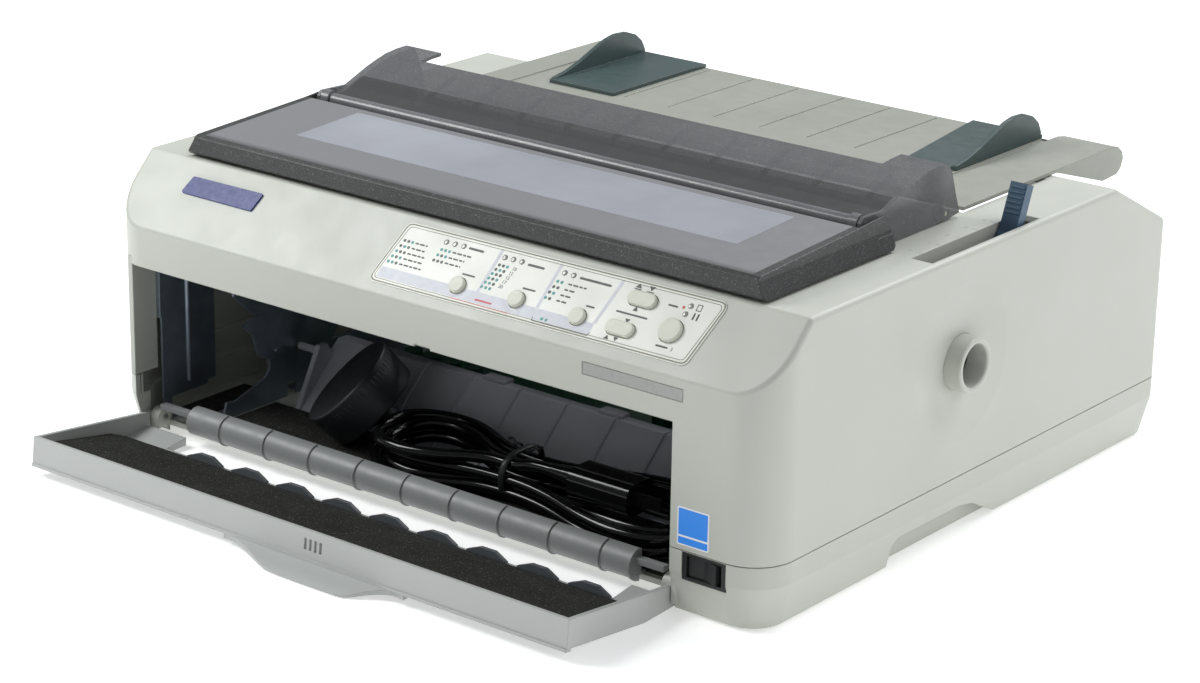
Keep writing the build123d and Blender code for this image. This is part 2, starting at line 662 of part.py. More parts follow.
def gear(centre, teeth, phase, x0, x1, bore):
    """A spur gear about X with involute teeth."""
    flank = involute_points(teeth, 0.16)
    outline = []
    for tooth in range(teeth):
        middle = phase + 2 * pi * tooth / teeth
        outline += [(r, middle - half) for r, half in flank]
        outline += [(r, middle + half) for r, half in reversed(flank)]
    points = [(centre[0] + r * cos(a), centre[1] + r * sin(a)) for r, a in outline]
    return profile_x(points, x0, x1) - rod_x(centre[0], centre[1], bore, x0 - 1, x1 + 1)


# ---------------------------------------------------------------- platen and paper feed
def platen():
    sleeve = rod_x(PLATEN_Y, PLATEN_Z, PLATEN_R, -132, 134)
    return sleeve - rod_x(PLATEN_Y, PLATEN_Z, PLATEN_SHAFT_R, -133, 135)


def platen_shaft():
    shaft = rod_x(PLATEN_Y, PLATEN_Z, PLATEN_SHAFT_R, -172, 188)
    return shaft - box(176, 189, PLATEN_Y - 5, PLATEN_Y + 5, PLATEN_Z + 2.6, PLATEN_Z + 5)


def shaft_bushings():
    """Flanged bushes that carry the platen and tractor shafts in both frames."""
    bushes = []
    for centre in (PLATEN_CENTRE, TRACTOR_CENTRE):
        for x in (FRAME_LEFT_X - SHEET, FRAME_RIGHT_X):
            inner = 1 if x < 0 else -1
            start = x + (SHEET if inner > 0 else 0)
            flange_x = sorted((start, start + 1.5 * inner))
            bush = rod_x(*centre, 6.5, x, x + SHEET) + rod_x(*centre, 8, flange_x[0], flange_x[1])
            bushes.append(bush - rod_x(*centre, PLATEN_SHAFT_R + RUNNING_GAP, x - 4, x + 6))
    return bushes


def platen_gear():
    return gear(PLATEN_CENTRE, PLATEN_TEETH, 0.0, *GEAR_X, PLATEN_SHAFT_R)


def feed_pinion():
    phase = mesh_phase(PLATEN_CENTRE, PLATEN_TEETH, 0.0, PINION_CENTRE, PINION_TEETH)
    wheel = gear(PINION_CENTRE, PINION_TEETH, phase, *GEAR_X, 1.5)
    return wheel + rod_x(*PINION_CENTRE, 1.5, -175.0, GEAR_X[1])


IDLER_PHASE = mesh_phase(PLATEN_CENTRE, PLATEN_TEETH, 0.0, IDLER_CENTRE, IDLER_TEETH)


def idler_gear():
    wheel = gear(IDLER_CENTRE, IDLER_TEETH, IDLER_PHASE, *GEAR_X, 3.0 + RUNNING_GAP)
    for count in range(5):
        angle = 2 * pi * count / 5
        y, z = IDLER_CENTRE[0] + 17 * cos(angle), IDLER_CENTRE[1] + 17 * sin(angle)
        wheel = wheel - rod_x(y, z, 6, GEAR_X[0] - 1, GEAR_X[1] + 1)
    return wheel


def tractor_shaft():
    phase = mesh_phase(IDLER_CENTRE, IDLER_TEETH, IDLER_PHASE, TRACTOR_CENTRE, TRACTOR_TEETH)
    shaft = rod_x(*TRACTOR_CENTRE, PLATEN_SHAFT_R, -172, 170)
    return shaft + gear(TRACTOR_CENTRE, TRACTOR_TEETH, phase, *GEAR_X, 1.0)


def tractor(x):
    """A pin tractor: side plates, a belt with pins and a lid, riding on the tractor shaft."""
    y0, y1 = TRACTOR_Y - 38, TRACTOR_Y + 12
    body = box(x - 9, x + 9, y0 + 8, y1 - 8, TRACTOR_Z - 9, TRACTOR_Z + 9)
    body = body + rod_x(y0 + 9, TRACTOR_Z, 9, x - 9, x + 9) + rod_x(y1 - 9, TRACTOR_Z, 9, x - 9, x + 9)
    for count in range(4):
        body = body + rod_z(x, y0 + 10 + 12.7 * (count * 0.8), 1.6, TRACTOR_Z + 8, TRACTOR_Z + 11.5)
    flap = box(x + 9, x + 11, y0 + 4, y1 - 4, TRACTOR_Z + 2, TRACTOR_Z + 14)
    flap = flap + box(x + 3, x + 11, y0 + 4, y1 - 4, TRACTOR_Z + 12.5, TRACTOR_Z + 14)
    return body + flap - rod_x(*TRACTOR_CENTRE, PLATEN_SHAFT_R + RUNNING_GAP, x - 20, x + 20)


def feed_motor():
    """Stepper motor outside the left frame: a square can with chamfered corners."""
    y, z = PINION_CENTRE
    can = Pos(-188.5, y, z) * Rot(0, 90, 0) * extrude(RectangleRounded(35, 35, 5), amount=14.5 - 0.8)
    can = Pos(-14.2, 0, 0) * can + rod_x(y, z, 11, -189.5, -175.0)
    return can - rod_x(y, z, 1.5 + RUNNING_GAP, -180, -170)


# ---------------------------------------------------------------- carriage and head
def carriage():
    """The sliding carriage on its rod, clamped to the belt's rear run."""
    x0, x1 = CARRIAGE_X - 28, CARRIAGE_X + 28
    base = box(x0, x1, -81, -50, 65, 79.8) - rod_x(ROD_Y, ROD_Z, ROD_R + RUNNING_GAP, x0 - 1, x1 + 1)
    clamp = box(CARRIAGE_X - 10, CARRIAGE_X + 10, -84.1, -81, 65, 74)
    rail = box(x0 + 4, x1 - 4, -50, -44, 66, 70)
    return base + clamp + rail


def print_head():
    """A 24-pin head: finned body and a nose that points at the platen."""
    body = box(CARRIAGE_X - 13, CARRIAGE_X + 13, -78, -54, 80, 103)
    for count in range(4):
        z = 83.5 + 5 * count
        body = body - box(CARRIAGE_X - 14, CARRIAGE_X - 9.5, -79, -53, z, z + 2)
        body = body - box(CARRIAGE_X + 9.5, CARRIAGE_X + 14, -79, -53, z, z + 2)
    nose = [(-54, 82), (-54, 101), (-44, 97), (-37.3, 95), (-37.3, 87.5), (-44, 85.5)]
    return body + profile_x(nose, CARRIAGE_X - 6, CARRIAGE_X + 6)


def carriage_rod():
    return rod_x(ROD_Y, ROD_Z, ROD_R, FRAME_LEFT_X - SHEET, FRAME_RIGHT_X + SHEET)


def belt_outline(radius):
    length = IDLER_PULLEY_X - DRIVE_PULLEY_X + 2 * radius
    sketch = SlotOverall(length, 2 * radius)
    place = Pos((DRIVE_PULLEY_X + IDLER_PULLEY_X) / 2, PULLEY_Y, BELT_Z[0])
    return place * extrude(sketch, amount=BELT_Z[1] - BELT_Z[0])


def drive_belt():
    gap = 0.08
    return belt_outline(PULLEY_R + gap + BELT_THICK) - belt_outline(PULLEY_R + gap)


def pulley(x, axle_low, axle_high):
    wheel = rod_z(x, PULLEY_Y, PULLEY_R, BELT_Z[0], BELT_Z[1])
    for z in (BELT_Z[0] - 1.2, BELT_Z[1]):
        low = z + (0.1 if z > 70 else -0.1)
        high = z + (1.2 if z > 70 else 1.1)
        wheel = wheel + rod_z(x, PULLEY_Y, PULLEY_R + 2.0, low, high)
    wheel = wheel + rod_z(x, PULLEY_Y, PULLEY_R, BELT_Z[0] - 1, BELT_Z[1] + 0.2)
    return wheel + rod_z(x, PULLEY_Y, 1.5, axle_low, axle_high)


def drive_pulley():
    return pulley(DRIVE_PULLEY_X, BELT_Z[0] - 1, 80.0)


def idler_pulley():
    return pulley(IDLER_PULLEY_X, BELT_Z[0] - 1, 76.5)


def carriage_motor():
    x, z0, z1 = DRIVE_PULLEY_X, 76.6, 98.0
    can = Pos(x, PULLEY_Y, z0) * extrude(RectangleRounded(35, 35, 5), amount=z1 - z0)
    can = can + rod_z(x, PULLEY_Y, 9, z1, z1 + 2)
    return can - rod_z(x, PULLEY_Y, 1.5 + RUNNING_GAP, 70, 80.5)


def motor_mounts():
    """Pressed brackets: carriage motor shelf, idler shelf and the paper feed motor's plate."""
    shelf = box(FRAME_LEFT_X, -118.0, -110, -72, 75.1, 76.6)
    shelf = shelf - rod_z(DRIVE_PULLEY_X, PULLEY_Y, 3, 70, 80)
    shelf = shelf + box(FRAME_LEFT_X, FRAME_LEFT_X + 1.5, -110, -72, 76.6, 90)
    idler = box(140.0, FRAME_RIGHT_X, -100, -82, 74.6, 76.1)
    idler = idler - rod_z(IDLER_PULLEY_X, PULLEY_Y, 1.5 + RUNNING_GAP, 70, 80)
    idler = idler + box(FRAME_RIGHT_X - 1.5, FRAME_RIGHT_X, -100, -82, 76.1, 90)
    y, z = PINION_CENTRE
    plate = box(-175.0, -173.5, y - 18, y + 18, z - 26, z + 18) - rod_x(y, z, 4, -180, -170)
    for dy in (-13, 13):
        plate = plate + rod_x(y + dy, z - 22, 2.2, -173.5, FRAME_LEFT_X - SHEET)
    return [shelf, idler, plate]


def ribbon_cartridge():
    """A wide cartridge across the front with an arm to each end of the platen."""
    body = box(-150, 150, -128, -98, 104.5, 122)
    body = fillet(body.edges().filter_by(Axis.Z), 5)
    for side in (-1, 1):
        a, b = sorted((side * 136.0, side * 150.0))
        body = body + box(a, b, -100, -33, 104.5, 113) + box(a, b, -45, -33, 84, 105)
    knob = rod_z(-120, -113, 9, 122, 126)
    return body + knob


def ink_ribbon():
    return box(-136, 136, -36.4, -36.0, 85, 98)


# ---------------------------------------------------------------- electronics
def main_board():
    board = box(-140, 50, -58, 138, BOARD_Z, BOARD_Z + 1.6)
    chips = [
        (-90, 20, 28, 28, 3),
        (-40, 40, 40, 15, 3.5),
        (10, 20, 20, 20, 3),
        (-60, 90, 24, 12, 4),
        (0, 95, 15, 30, 8),
    ]
    for x, y, w, d, h in chips:
        board = board + box(x - w / 2, x + w / 2, y - d / 2, y + d / 2, BOARD_Z + 1, BOARD_Z + 1.6 + h)
    for count in range(5):
        board = board + rod_z(-120 + 14 * count, -40, 5, BOARD_Z + 1, BOARD_Z + 16)
    board = board + box(25, 33, -20, 60, BOARD_Z + 1, BOARD_Z + 24)
    return board


def power_board():
    board = box(66, 158, -48, 88, BOARD_Z, BOARD_Z + 1.6)
    board = board + box(84, 122, 10, 46, BOARD_Z + 1, BOARD_Z + 36)
    for x, y, r, h in ((140, -25, 11, 32), (112, -28, 9, 26), (140, 62, 8, 22), (95, 70, 6, 18)):
        board = board + rod_z(x, y, r, BOARD_Z + 1, BOARD_Z + h)
    for count in range(5):
        y = -34 + 5 * count
        board = board + box(70, 92, y, y + 2, BOARD_Z + 1, BOARD_Z + 30)
    return board + box(70, 92, -36, -12, BOARD_Z + 1, BOARD_Z + 6)


def panel_board():
    """The board behind the control panel."""
    outline = Pos(67, 23) * Rectangle(200, 36)
    board = on_slope(outline, -9.0, -7.4)
    return board


def inlet_socket():
    x, z = 134.0, 19.75
    body = box(120, 148, REAR_Y - 22, REAR_Y - 0.2, 10, 29.5)
    hollow = box(x - 11, x + 11, REAR_Y - 16, REAR_Y + 1, z - 7, z + 7)
    body = body - hollow
    for dx, dz in ((0, 2.5), (-7, -2), (7, -2)):
        body = body + box(x + dx - 1, x + dx + 1, REAR_Y - 17, REAR_Y - 3, z + dz - 2, z + dz + 2)
    return body


def interface_sockets():
    parallel = box(-120.5, -61.5, REAR_Y - 20, REAR_Y - 0.2, 12, 27.5)
    parallel = parallel - box(-113, -69, REAR_Y - 9, REAR_Y + 1, 15, 24.5)
    parallel = parallel + box(-110, -72, REAR_Y - 12, REAR_Y - 2.5, 18.7, 20.8)
    usb = box(-40.5, -27.5, REAR_Y - 18, REAR_Y - 0.2, 13, 23.5)
    usb = (
        usb - box(-38, -30, REAR_Y - 12, REAR_Y + 1, 15, 21.5)
        + box(-36, -32, REAR_Y - 13, REAR_Y - 3, 17, 19.6)
    )
    return [parallel, usb]


# ---------------------------------------------------------------- control panel and switch
def control_panel():
    """The printed overlay on the slope, with its buttons' holes."""
    wire = Polyline(*[Vector(x, y, 0) for x, y in PANEL_OUTLINE], close=True)
    sketch = make_face(wire)
    sketch = fillet(sketch.vertices(), 4.0)
    overlay = on_slope(sketch, 0, 0.5)
    return overlay - button_holes(BUTTON_GAP, -1, 2)


def push_button(name):
    """A button cap with a retaining flange under the case."""
    cap = on_slope(button_sketch(name, 0.0), -5.0, BUTTON_PROUD)
    top = cap.faces().sort_by(lambda f: (PANEL.to_local_coords(f.center())).Z)[-1]
    cap = fillet(top.edges(), 0.7)
    return cap + on_slope(button_sketch(name, 0.9), -5.0, -3.6)


ROCKER_PIVOT = (173.8, -168.4)


def switch_body():
    body = box(161.6, 186.0, FRONT_Y + 0.3, FRONT_Y + 14, 18.8, 32.2)
    body = body - box(164.0, 183.6, FRONT_Y - 1, FRONT_Y + 10.5, 20.4, 30.8)
    pin = rod_z(*ROCKER_PIVOT, 1.2, 19.5, 31.5)
    return body + pin


def power_rocker():
    """The rocker, resting with its left end pressed in."""
    x, y = ROCKER_PIVOT
    top = [(-8.2, -6.3), (0, -4.9), (8.2, -6.3), (8.2, 0.2), (0, 2.6), (-8.2, 0.2)]
    rocker = plan_z([(x + a, y + b) for a, b in top], 20.7, 30.5)
    rocker = Pos(x, y, 0) * Rot(0, 0, -7) * Pos(-x, -y, 0) * rocker
    return rocker - rod_z(x, y, 1.2 + RUNNING_GAP, 15, 35)


def knob_collar():
    ring = rod_x(PLATEN_Y, PLATEN_Z, 13.7, 203, 214.8) - rod_x(PLATEN_Y, PLATEN_Z, 10.6, 200, 220)
    rim = ring.faces().sort_by(Axis.X)[-1]
    return fillet(rim.edges(), 1.2)


# ---------------------------------------------------------------- lid, tension unit and roller
LID_OUTER = [
    (-142.0, 146.8),
    (-144.0, 148.5),
    (-143.0, 156.0),
    (-141.0, 157.3),
    (-61.8, 161.2),
    (-61.8, 146.8),
]
LID_INNER = [
    (-139.6, 145.0),
    (-141.6, 148.9),
    (-140.8, 155.0),
    (-64.0, 158.8),
    (-64.0, 156.8),
    (-61.0, 156.8),
    (-61.0, 145.0),
]
CHEEK = [
    (-62.5, 146.8),
    (-62.5, 161.2),
    (-50.0, 162.3),
    (-42.5, 162.4),
    (-39.0, 160.6),
    (-37.2, 153.0),
    (-38.5, 148.4),
    (-41.0, 146.7),
]
WINDOW_X = (-134.0, 142.0)
WINDOW_Y = (-113.0, -66.5)


def lid_top_z(y):
    return 157.3 + (y + 141.0) * (161.2 - 157.3) / (141.0 - 61.8)


def side_draft(side):
    """The wedge that leans the lid's side walls inward."""
    a = [(181.05, 146.0), (176.2, 155.0), (174.9, 164.0), (190.0, 164.0), (190.0, 146.0)]
    return profile_y([(side * x, z) for x, z in a], -150, -30)


def printer_lid():
    lid = profile_x(LID_OUTER, -LID_HALF, LID_HALF)
    lid = lid - profile_x(LID_INNER, -LID_HALF + 6.5, LID_HALF - 6.5)
    for side in (-1, 1):
        a, b = sorted((side * 174.5, side * LID_HALF))
        lid = lid + profile_x(CHEEK, a, b)
        a, b = sorted((side * 175.2, side * 176.8))
        lid = lid - box(a, b, -49.5, -36, 146, 153.5)
        a, b = sorted((side * 174.7, side * 177.1))
        lid = lid - rod_x(*LID_PIVOT, HINGE_PIN_R + RUNNING_GAP, a, b)
        lid = lid - side_draft(side)
    x0, x1 = WINDOW_X
    y0, y1 = WINDOW_Y
    seat = [(y0, lid_top_z(y0) - 1.0), (y1, lid_top_z(y1) - 1.0), (y1, 165), (y0, 165)]
    hole = [(y0 + 3, 150), (y1 - 3, 150), (y1 - 3, 165), (y0 + 3, 165)]
    return lid - profile_x(seat, x0, x1) - profile_x(hole, x0 + 3, x1 - 3)


def lid_window():
    x0, x1 = WINDOW_X[0] + 0.1, WINDOW_X[1] - 0.1
    y0, y1 = WINDOW_Y[0] + 0.1, WINDOW_Y[1] - 0.1
    pane = [(y0, lid_top_z(y0) - 1.0), (y1, lid_top_z(y1) - 1.0), (y1, lid_top_z(y1)), (y0, lid_top_z(y0))]
    return profile_x(pane, x0, x1)


UNIT_PLATE = [
    (-37.0, 146.2),
    (-46.0, 160.5),
    (-36.0, 163.0),
    (-26.0, 166.8),
    (-18.0, 169.8),
    (-10.0, 172.2),
    (-3.0, 174.0),
    (6.0, 175.0),
    (13.5, 175.2),
    (17.5, 173.6),
    (20.5, 169.0),
    (24.4, 158.0),
    (28.5, 147.7),
    (18.0, 146.3),
]
UNIT_SKIN = [
    (-46.0, 160.5),
    (-36.0, 163.0),
    (-26.0, 166.8),
    (-18.0, 169.8),
    (-10.0, 172.2),
    (-3.0, 174.0),
    (6.0, 175.0),
    (13.5, 175.2),
    (13.0, 173.4),
    (6.0, 173.2),
    (-2.6, 172.2),
    (-9.4, 170.4),
    (-17.4, 168.0),
    (-25.4, 165.0),
    (-35.4, 161.2),
    (-45.4, 158.8),
]
HUB_ARM = [(-36.0, 147.5), (-54.0, 153.9), (-57.0, 156.5), (-57.0, 161.5), (-54.5, 164.0), (-26.0, 162.8)]


def tension_unit():
    """The smoked sheet guide over the platen: a curved skin, two end plates and the roller's arms."""
    unit = profile_x(UNIT_SKIN, -UNIT_HALF + 1, UNIT_HALF - 1)
    unit = unit - box(-147, 147, -3.0, 20, 160, 185)
    for side in (-1, 1):
        a, b = sorted((side * (UNIT_HALF - 2.0), side * UNIT_HALF))
        unit = unit + profile_x(UNIT_PLATE, a, b) + profile_x(HUB_ARM, a, b)
    for count in range(10):
        x = -122.0 + 30.6 * count
        rib = [(-25.7, 165.9), (-10.0, 171.4), (-4.0, 172.8), (-4.0, 168.6), (-10.0, 167.0), (-25.0, 161.6)]
        unit = unit + profile_x(rib, x - 0.6, x + 0.6)
    unit = unit - rod_x(*UNIT_PIVOT, HINGE_PIN_R + RUNNING_GAP, -180, 180)
    return unit - rod_x(ROLLER_Y, ROLLER_Z, 2.0 + RUNNING_GAP, -180, 180)


def tension_roller():
    half = UNIT_HALF - 7.0
    bar = rod_x(ROLLER_Y, ROLLER_Z, 3.4, -half, half)
    for side in (-1, 1):
        a, b = sorted((side * (half - 0.5), side * (half + 4.4)))
        c, d = sorted((side * (half + 4.0), side * UNIT_HALF))
        bar = bar + rod_x(ROLLER_Y, ROLLER_Z, 4.6, a, b) + rod_x(ROLLER_Y, ROLLER_Z, 2.0, c, d)
    return bar


# ---------------------------------------------------------------- rear paper guide
GUIDE_FRONT_Y = 36.5
TABLE_UNDER = TABLE_Z - 1.8
GUIDE_BARS = ((-169.4, -150.0), (137.0, 169.3))


def rear_paper_guide():
    """The paper table in the rear opening, with a bar down each side that ends in a round nose."""
    plate = [
        (GUIDE_FRONT_Y, TABLE_UNDER),
        (GUIDE_FRONT_Y, TABLE_Z),
        (169.0, TABLE_Z),
        (171.0, TABLE_Z - 1),
        (171.0, 139.5),
        (169.0, 139.5),
        (168.5, TABLE_UNDER),
    ]
    side_bar = [
        (GUIDE_FRONT_Y, TABLE_UNDER),
        (GUIDE_FRONT_Y, TABLE_Z),
        (178.0, TABLE_Z),
        (185.5, 146.4),
        (189.5, 143.3),
        (GUIDE_REAR_Y, 139.3),
        (189.0, 134.5),
        (185.0, 131.9),
        (171.0, 131.2),
        (124.0, TABLE_UNDER),
    ]
    guide = profile_x(plate, GUIDE_BARS[0][1] - 1, GUIDE_BARS[1][0] + 1)
    for x0, x1 in GUIDE_BARS:
        guide = guide + profile_x(side_bar, x0, x1)
    for count in range(7):
        x = -81.3 + 30.2 * count
        guide = guide - box(x - 0.45, x + 0.45, 88, 166, TABLE_Z - 0.6, TABLE_Z + 5)
    for x0, x1 in ((-150.0, -146.8), (133.6, 137.0)):
        guide = guide - box(x0, x1, GUIDE_FRONT_Y + 12, 168, TABLE_Z - 0.7, TABLE_Z + 5)
    y, z = GUIDE_PIVOT
    for x in GUIDE_EAR_X:
        guide = guide + rod_x(y, z, 2.6, x + 3.4, x + 6.6)
        guide = guide - box(x - 0.6, x + 3.4, y - 4.2, y + 4.2, 140, z + 4.2)
        guide = guide - rod_x(y, z, HINGE_PIN_R + RUNNING_GAP, x + 2, x + 9)
    return guide


FIN = [
    (87, 2.5),
    (98, 4.2),
    (110, 7.6),
    (123, 12.5),
    (133, 15.9),
    (141, 17.2),
    (151, 16.7),
    (159, 13.9),
    (165, 9.2),
    (168, 3.8),
]


def edge_guide(x_in, x_out, x_fin, y_front):
    """A sliding side stop: a thin plate on the table and a tall fin that rises toward the back."""
    low = TABLE_Z + 0.15
    a, b = sorted((x_in, x_out))
    guide = box(a, b, y_front, 169.5, low, low + 1.8)
    fin = [(87, low), *[(y, TABLE_Z + rise) for y, rise in FIN], (168, low)]
    return guide + profile_x(fin, x_fin, x_fin + 2.4)


def left_edge_guide():
    return edge_guide(-86.3, -131.0, -131.0, 85.5)


def right_edge_guide():
    guide = edge_guide(87.6, 132.8, 130.4, 87.0)
    corner = [(80, 80), (104.0, 80), (89.6, 172), (80, 172)]
    return guide - plan_z(corner, 140, 180)


# ---------------------------------------------------------------- release lever
def release_lever():
    """The paper release lever: a hub, an arm up to the deck and a ribbed thumb blade."""
    x0, x1 = LEVER_X
    hub_y, hub_z = LEVER_PIVOT
    knee = (33.5, 138.5)
    tip = (43.5, 163.8)
    lever = rod_x(hub_y, hub_z, 7.0, x0, x1)

    def bar(start, end, half):
        run = hypot(end[0] - start[0], end[1] - start[1])
        ny, nz = -(end[1] - start[1]) / run * half, (end[0] - start[0]) / run * half
        return profile_x(
            [
                (start[0] + ny, start[1] + nz),
                (end[0] + ny, end[1] + nz),
                (end[0] - ny, end[1] - nz),
                (start[0] - ny, start[1] - nz),
            ],
            x0,
            x1,
        )

    lever = lever + bar((hub_y, hub_z), knee, 4.0) + rod_x(*knee, 4.0, x0, x1) + bar(knee, tip, 3.0)
    run = hypot(tip[0] - knee[0], tip[1] - knee[1])
    uy, uz = (tip[0] - knee[0]) / run, (tip[1] - knee[1]) / run
    for count in range(6):
        along = run - 2.4 - 2.5 * count
        start = (knee[0] + uy * along - uz * 2.6, knee[1] + uz * along + uy * 2.6)
        rib = rod_x(start[0], start[1], 1.0, x0 + 0.8, x1 - 0.8)
        lever = lever + rib
    return lever - rod_x(*LEVER_PIVOT, 3.0 + RUNNING_GAP, x0 - 1, x1 + 1)


# ---------------------------------------------------------------- loose platen knob
KNOB_R = 27.0
KNOB_DEPTH = 21.0
KNOB_AXIS = Vector(0.528, 0.465, -0.711)
KNOB_FACE = (-87.1, -128.2, 42.6)


def platen_knob():
    """A cup-shaped fluted knob with a socketed spigot, lying in the bay."""
    body = Cone(KNOB_R, KNOB_R - 1.5, KNOB_DEPTH, align=(Align.CENTER, Align.CENTER, Align.MIN))
    body = fillet(body.edges(), 1.2)
    body = body - Pos(0, 0, 3.0) * Cylinder(
        KNOB_R - 5, KNOB_DEPTH, align=(Align.CENTER, Align.CENTER, Align.MIN)
    )
    spigot = Pos(0, 0, 1.0) * Cylinder(6.8, KNOB_DEPTH + 9.0, align=(Align.CENTER, Align.CENTER, Align.MIN))
    bore = Pos(0, 0, 10.0) * Cylinder(4.1, 40, align=(Align.CENTER, Align.CENTER, Align.MIN))
    body = body + spigot - bore
    flutes = 60
    for count in range(flutes):
        angle = 360.0 * count / flutes
        notch = Pos(KNOB_R + 0.35, 0, KNOB_DEPTH / 2 + 1) * Cylinder(0.95, KNOB_DEPTH - 5)
        body = body - Rot(0, 0, angle) * notch
    place = Plane(origin=KNOB_FACE, z_dir=KNOB_AXIS)
    return place.location * body


# ---------------------------------------------------------------- mains lead
def biarc(p0, t0, p1, t1):
    """Two arcs, or one straight, that join p0 to p1 with the given directions."""
    v, t = p1 - p0, t0 + t1
    if v.normalized().cross(t0).length < 1e-6 and v.normalized().cross(t1).length < 1e-6:
        return [Edge.make_line(p0, p1)]
    dot = v.dot(t)
    room = 2 * (1 - t0.dot(t1))
    if room < 1e-6:
        reach = v.dot(v) / (4 * v.dot(t1))
    else:
        reach = (-dot + sqrt(dot**2 + room * v.dot(v))) / room
    knot0, knot1 = p0 + t0 * reach, p1 - t1 * reach
    middle = (knot0 + knot1) * 0.5
    first = Edge.make_tangent_arc(p0, t0, middle)
    second = Edge.make_tangent_arc(middle, (knot1 - knot0).normalized(), p1)
    return [first, second]


HANK_LEFT, HANK_RIGHT = -33.0, 113.0
HANK_Y = -128.3
HANK_WAIST_X = 28.0
HANK_STEP = CORD_D + 0.8
HANK_INNER = 3 * CORD_D + 0.1
HANK_OUTER = HANK_INNER + HANK_STEP
HANK_TILT = radians(8.0)
HANK_BASE = FOAM_TOP + CORD_D / 2 + 0.2 + HANK_OUTER * sin(HANK_TILT)
WAIST_STEP = HANK_STEP + 0.8

# Four loops in two layers.  They spiral in on the lower layer and out again on the upper one.
# Each entry is the half width of a loop there and its layer.
BACK_RUNS = [(HANK_OUTER, 0), (HANK_INNER, 0), (HANK_INNER, 1), (HANK_OUTER, 1)]
FRONT_LEFT = [(HANK_OUTER, 0), (HANK_INNER, 0), (HANK_INNER, 1), (HANK_OUTER - 1.5, 2)]
BACK_WAIST = [(1.5, 0), (0.5, 0), (0.5, 1), (1.5, 1)]
FRONT_WAIST = [(1.5, 0), (0.5, 0), (1.5, 1), (1.15, 2)]
FRONT_RIGHT = [(HANK_OUTER, 0), (HANK_INNER, 1), (HANK_OUTER, 1)]

PLUG_START = Vector(57.0, -139.0, 33.8)
CONNECTOR_START = Vector(158.4, -128.3, 17.4)
TO_RIGHT, TO_LEFT = Vector(1, 0, 0), Vector(-1, 0, 0)
TO_BACK = Vector(0, cos(HANK_TILT), sin(HANK_TILT))


def hank_point(x, across, layer):
    """A place in the hank, whose loops lie on a plane that leans up toward the back."""
    y = HANK_Y + across * cos(HANK_TILT)
    z = HANK_BASE + across * sin(HANK_TILT) + layer * HANK_STEP
    return Vector(x, y, z)


def turn_apex(x, side, behind, before):
    """The outermost point of a half turn between a back run and a front run."""
    radius = (behind[0] + before[0]) / 2
    layer = (behind[1] + before[1]) / 2
    return hank_point(x + side * radius, behind[0] - radius, layer)


def cord_stations():
    """Points and directions of the whole lead, from the connector through the hank to the plug."""
    turn = Vector(0, 1, 0)
    corner = hank_point(CONNECTOR_START.X - HANK_INNER, HANK_OUTER, 0)
    stations = [
        (CONNECTOR_START, turn),
        (CONNECTOR_START + turn * CORD_D, turn),
        (corner, TO_LEFT),
    ]
    for loop in range(4):
        behind, before = BACK_RUNS[loop], FRONT_LEFT[loop]
        back_waist, front_waist = BACK_WAIST[loop], FRONT_WAIST[loop]
        stations += [
            (hank_point(HANK_RIGHT, *behind), TO_LEFT),
            (hank_point(HANK_WAIST_X, back_waist[0] * WAIST_STEP, back_waist[1]), TO_LEFT),
            (hank_point(HANK_LEFT, *behind), TO_LEFT),
            (turn_apex(HANK_LEFT, -1, behind, before), TO_BACK * -1),
            (hank_point(HANK_LEFT, -before[0], before[1]), TO_RIGHT),
            (hank_point(HANK_WAIST_X, -front_waist[0] * WAIST_STEP, front_waist[1]), TO_RIGHT),
        ]
        if loop < 3:
            end, onward = FRONT_RIGHT[loop], BACK_RUNS[loop + 1]
            stations += [
                (hank_point(HANK_RIGHT, -end[0], end[1]), TO_RIGHT),
                (turn_apex(HANK_RIGHT, 1, onward, end), TO_BACK),
            ]
    stations += [(PLUG_START - TO_RIGHT * CORD_D, TO_RIGHT), (PLUG_START, TO_RIGHT)]
    return stations


def power_cord():
    stations = cord_stations()
    edges = []
    for (p0, t0), (p1, t1) in zip(stations, stations[1:]):
        edges += biarc(p0, t0, p1, t1)
    start, direction = stations[0]
    section = Plane(origin=start, z_dir=direction) * Circle(CORD_D / 2)
    tube = sweep(section, path=Wire(edges))
    report_cord(edges, tube)
    return tube


def report_cord(edges, tube):
    """Prints the lead's length, tightest bend, least gap to itself and a volume comparison."""
    length = sum(edge.length for edge in edges)
    radii = [edge.radius for edge in edges if edge.geom_type == GeomType.CIRCLE]
    step = 3.0
    places, reach = [], []
    travelled = 0.0
    for edge in edges:
        count = max(1, round(edge.length / step))
        for k in range(count):
            places.append(edge.position_at(k / count))
            reach.append(travelled + edge.length * k / count)
        travelled += edge.length
    gap = 1e9
    for i, a in enumerate(places):
        for j in range(i + 1, len(places)):
            if reach[j] - reach[i] > 4 * CORD_D:
                gap = min(gap, (a - places[j]).length - CORD_D)
    section = pi * CORD_D**2 / 4
    print(f"cord: length {length:.0f}, tightest radius {min(radii):.1f}, least gap {gap:.2f}")
    print(f"cord: volume {tube.volume:.0f}, section times length {section * length:.0f}")


def mains_plug():
    """A moulded two-pole-and-earth plug with a tapered strain relief."""
    x, y, z = PLUG_START
    relief = Pos(x + 9, y, z) * Rot(0, 90, 0) * Cone(3.4, 5.6, 18)
    body = box(x + 17, x + 53, y - 11, y + 11, z - 8, z + 8)
    body = fillet(body.edges().filter_by(Axis.X), 6.0)
    for dy in (-6.4, 6.4):
        body = body + box(x + 52, x + 70, y + dy - 0.75, y + dy + 0.75, z - 1, z + 5.4)
    return relief + body + rod_x(y, z - 4.5, 2.3, x + 52, x + 71)


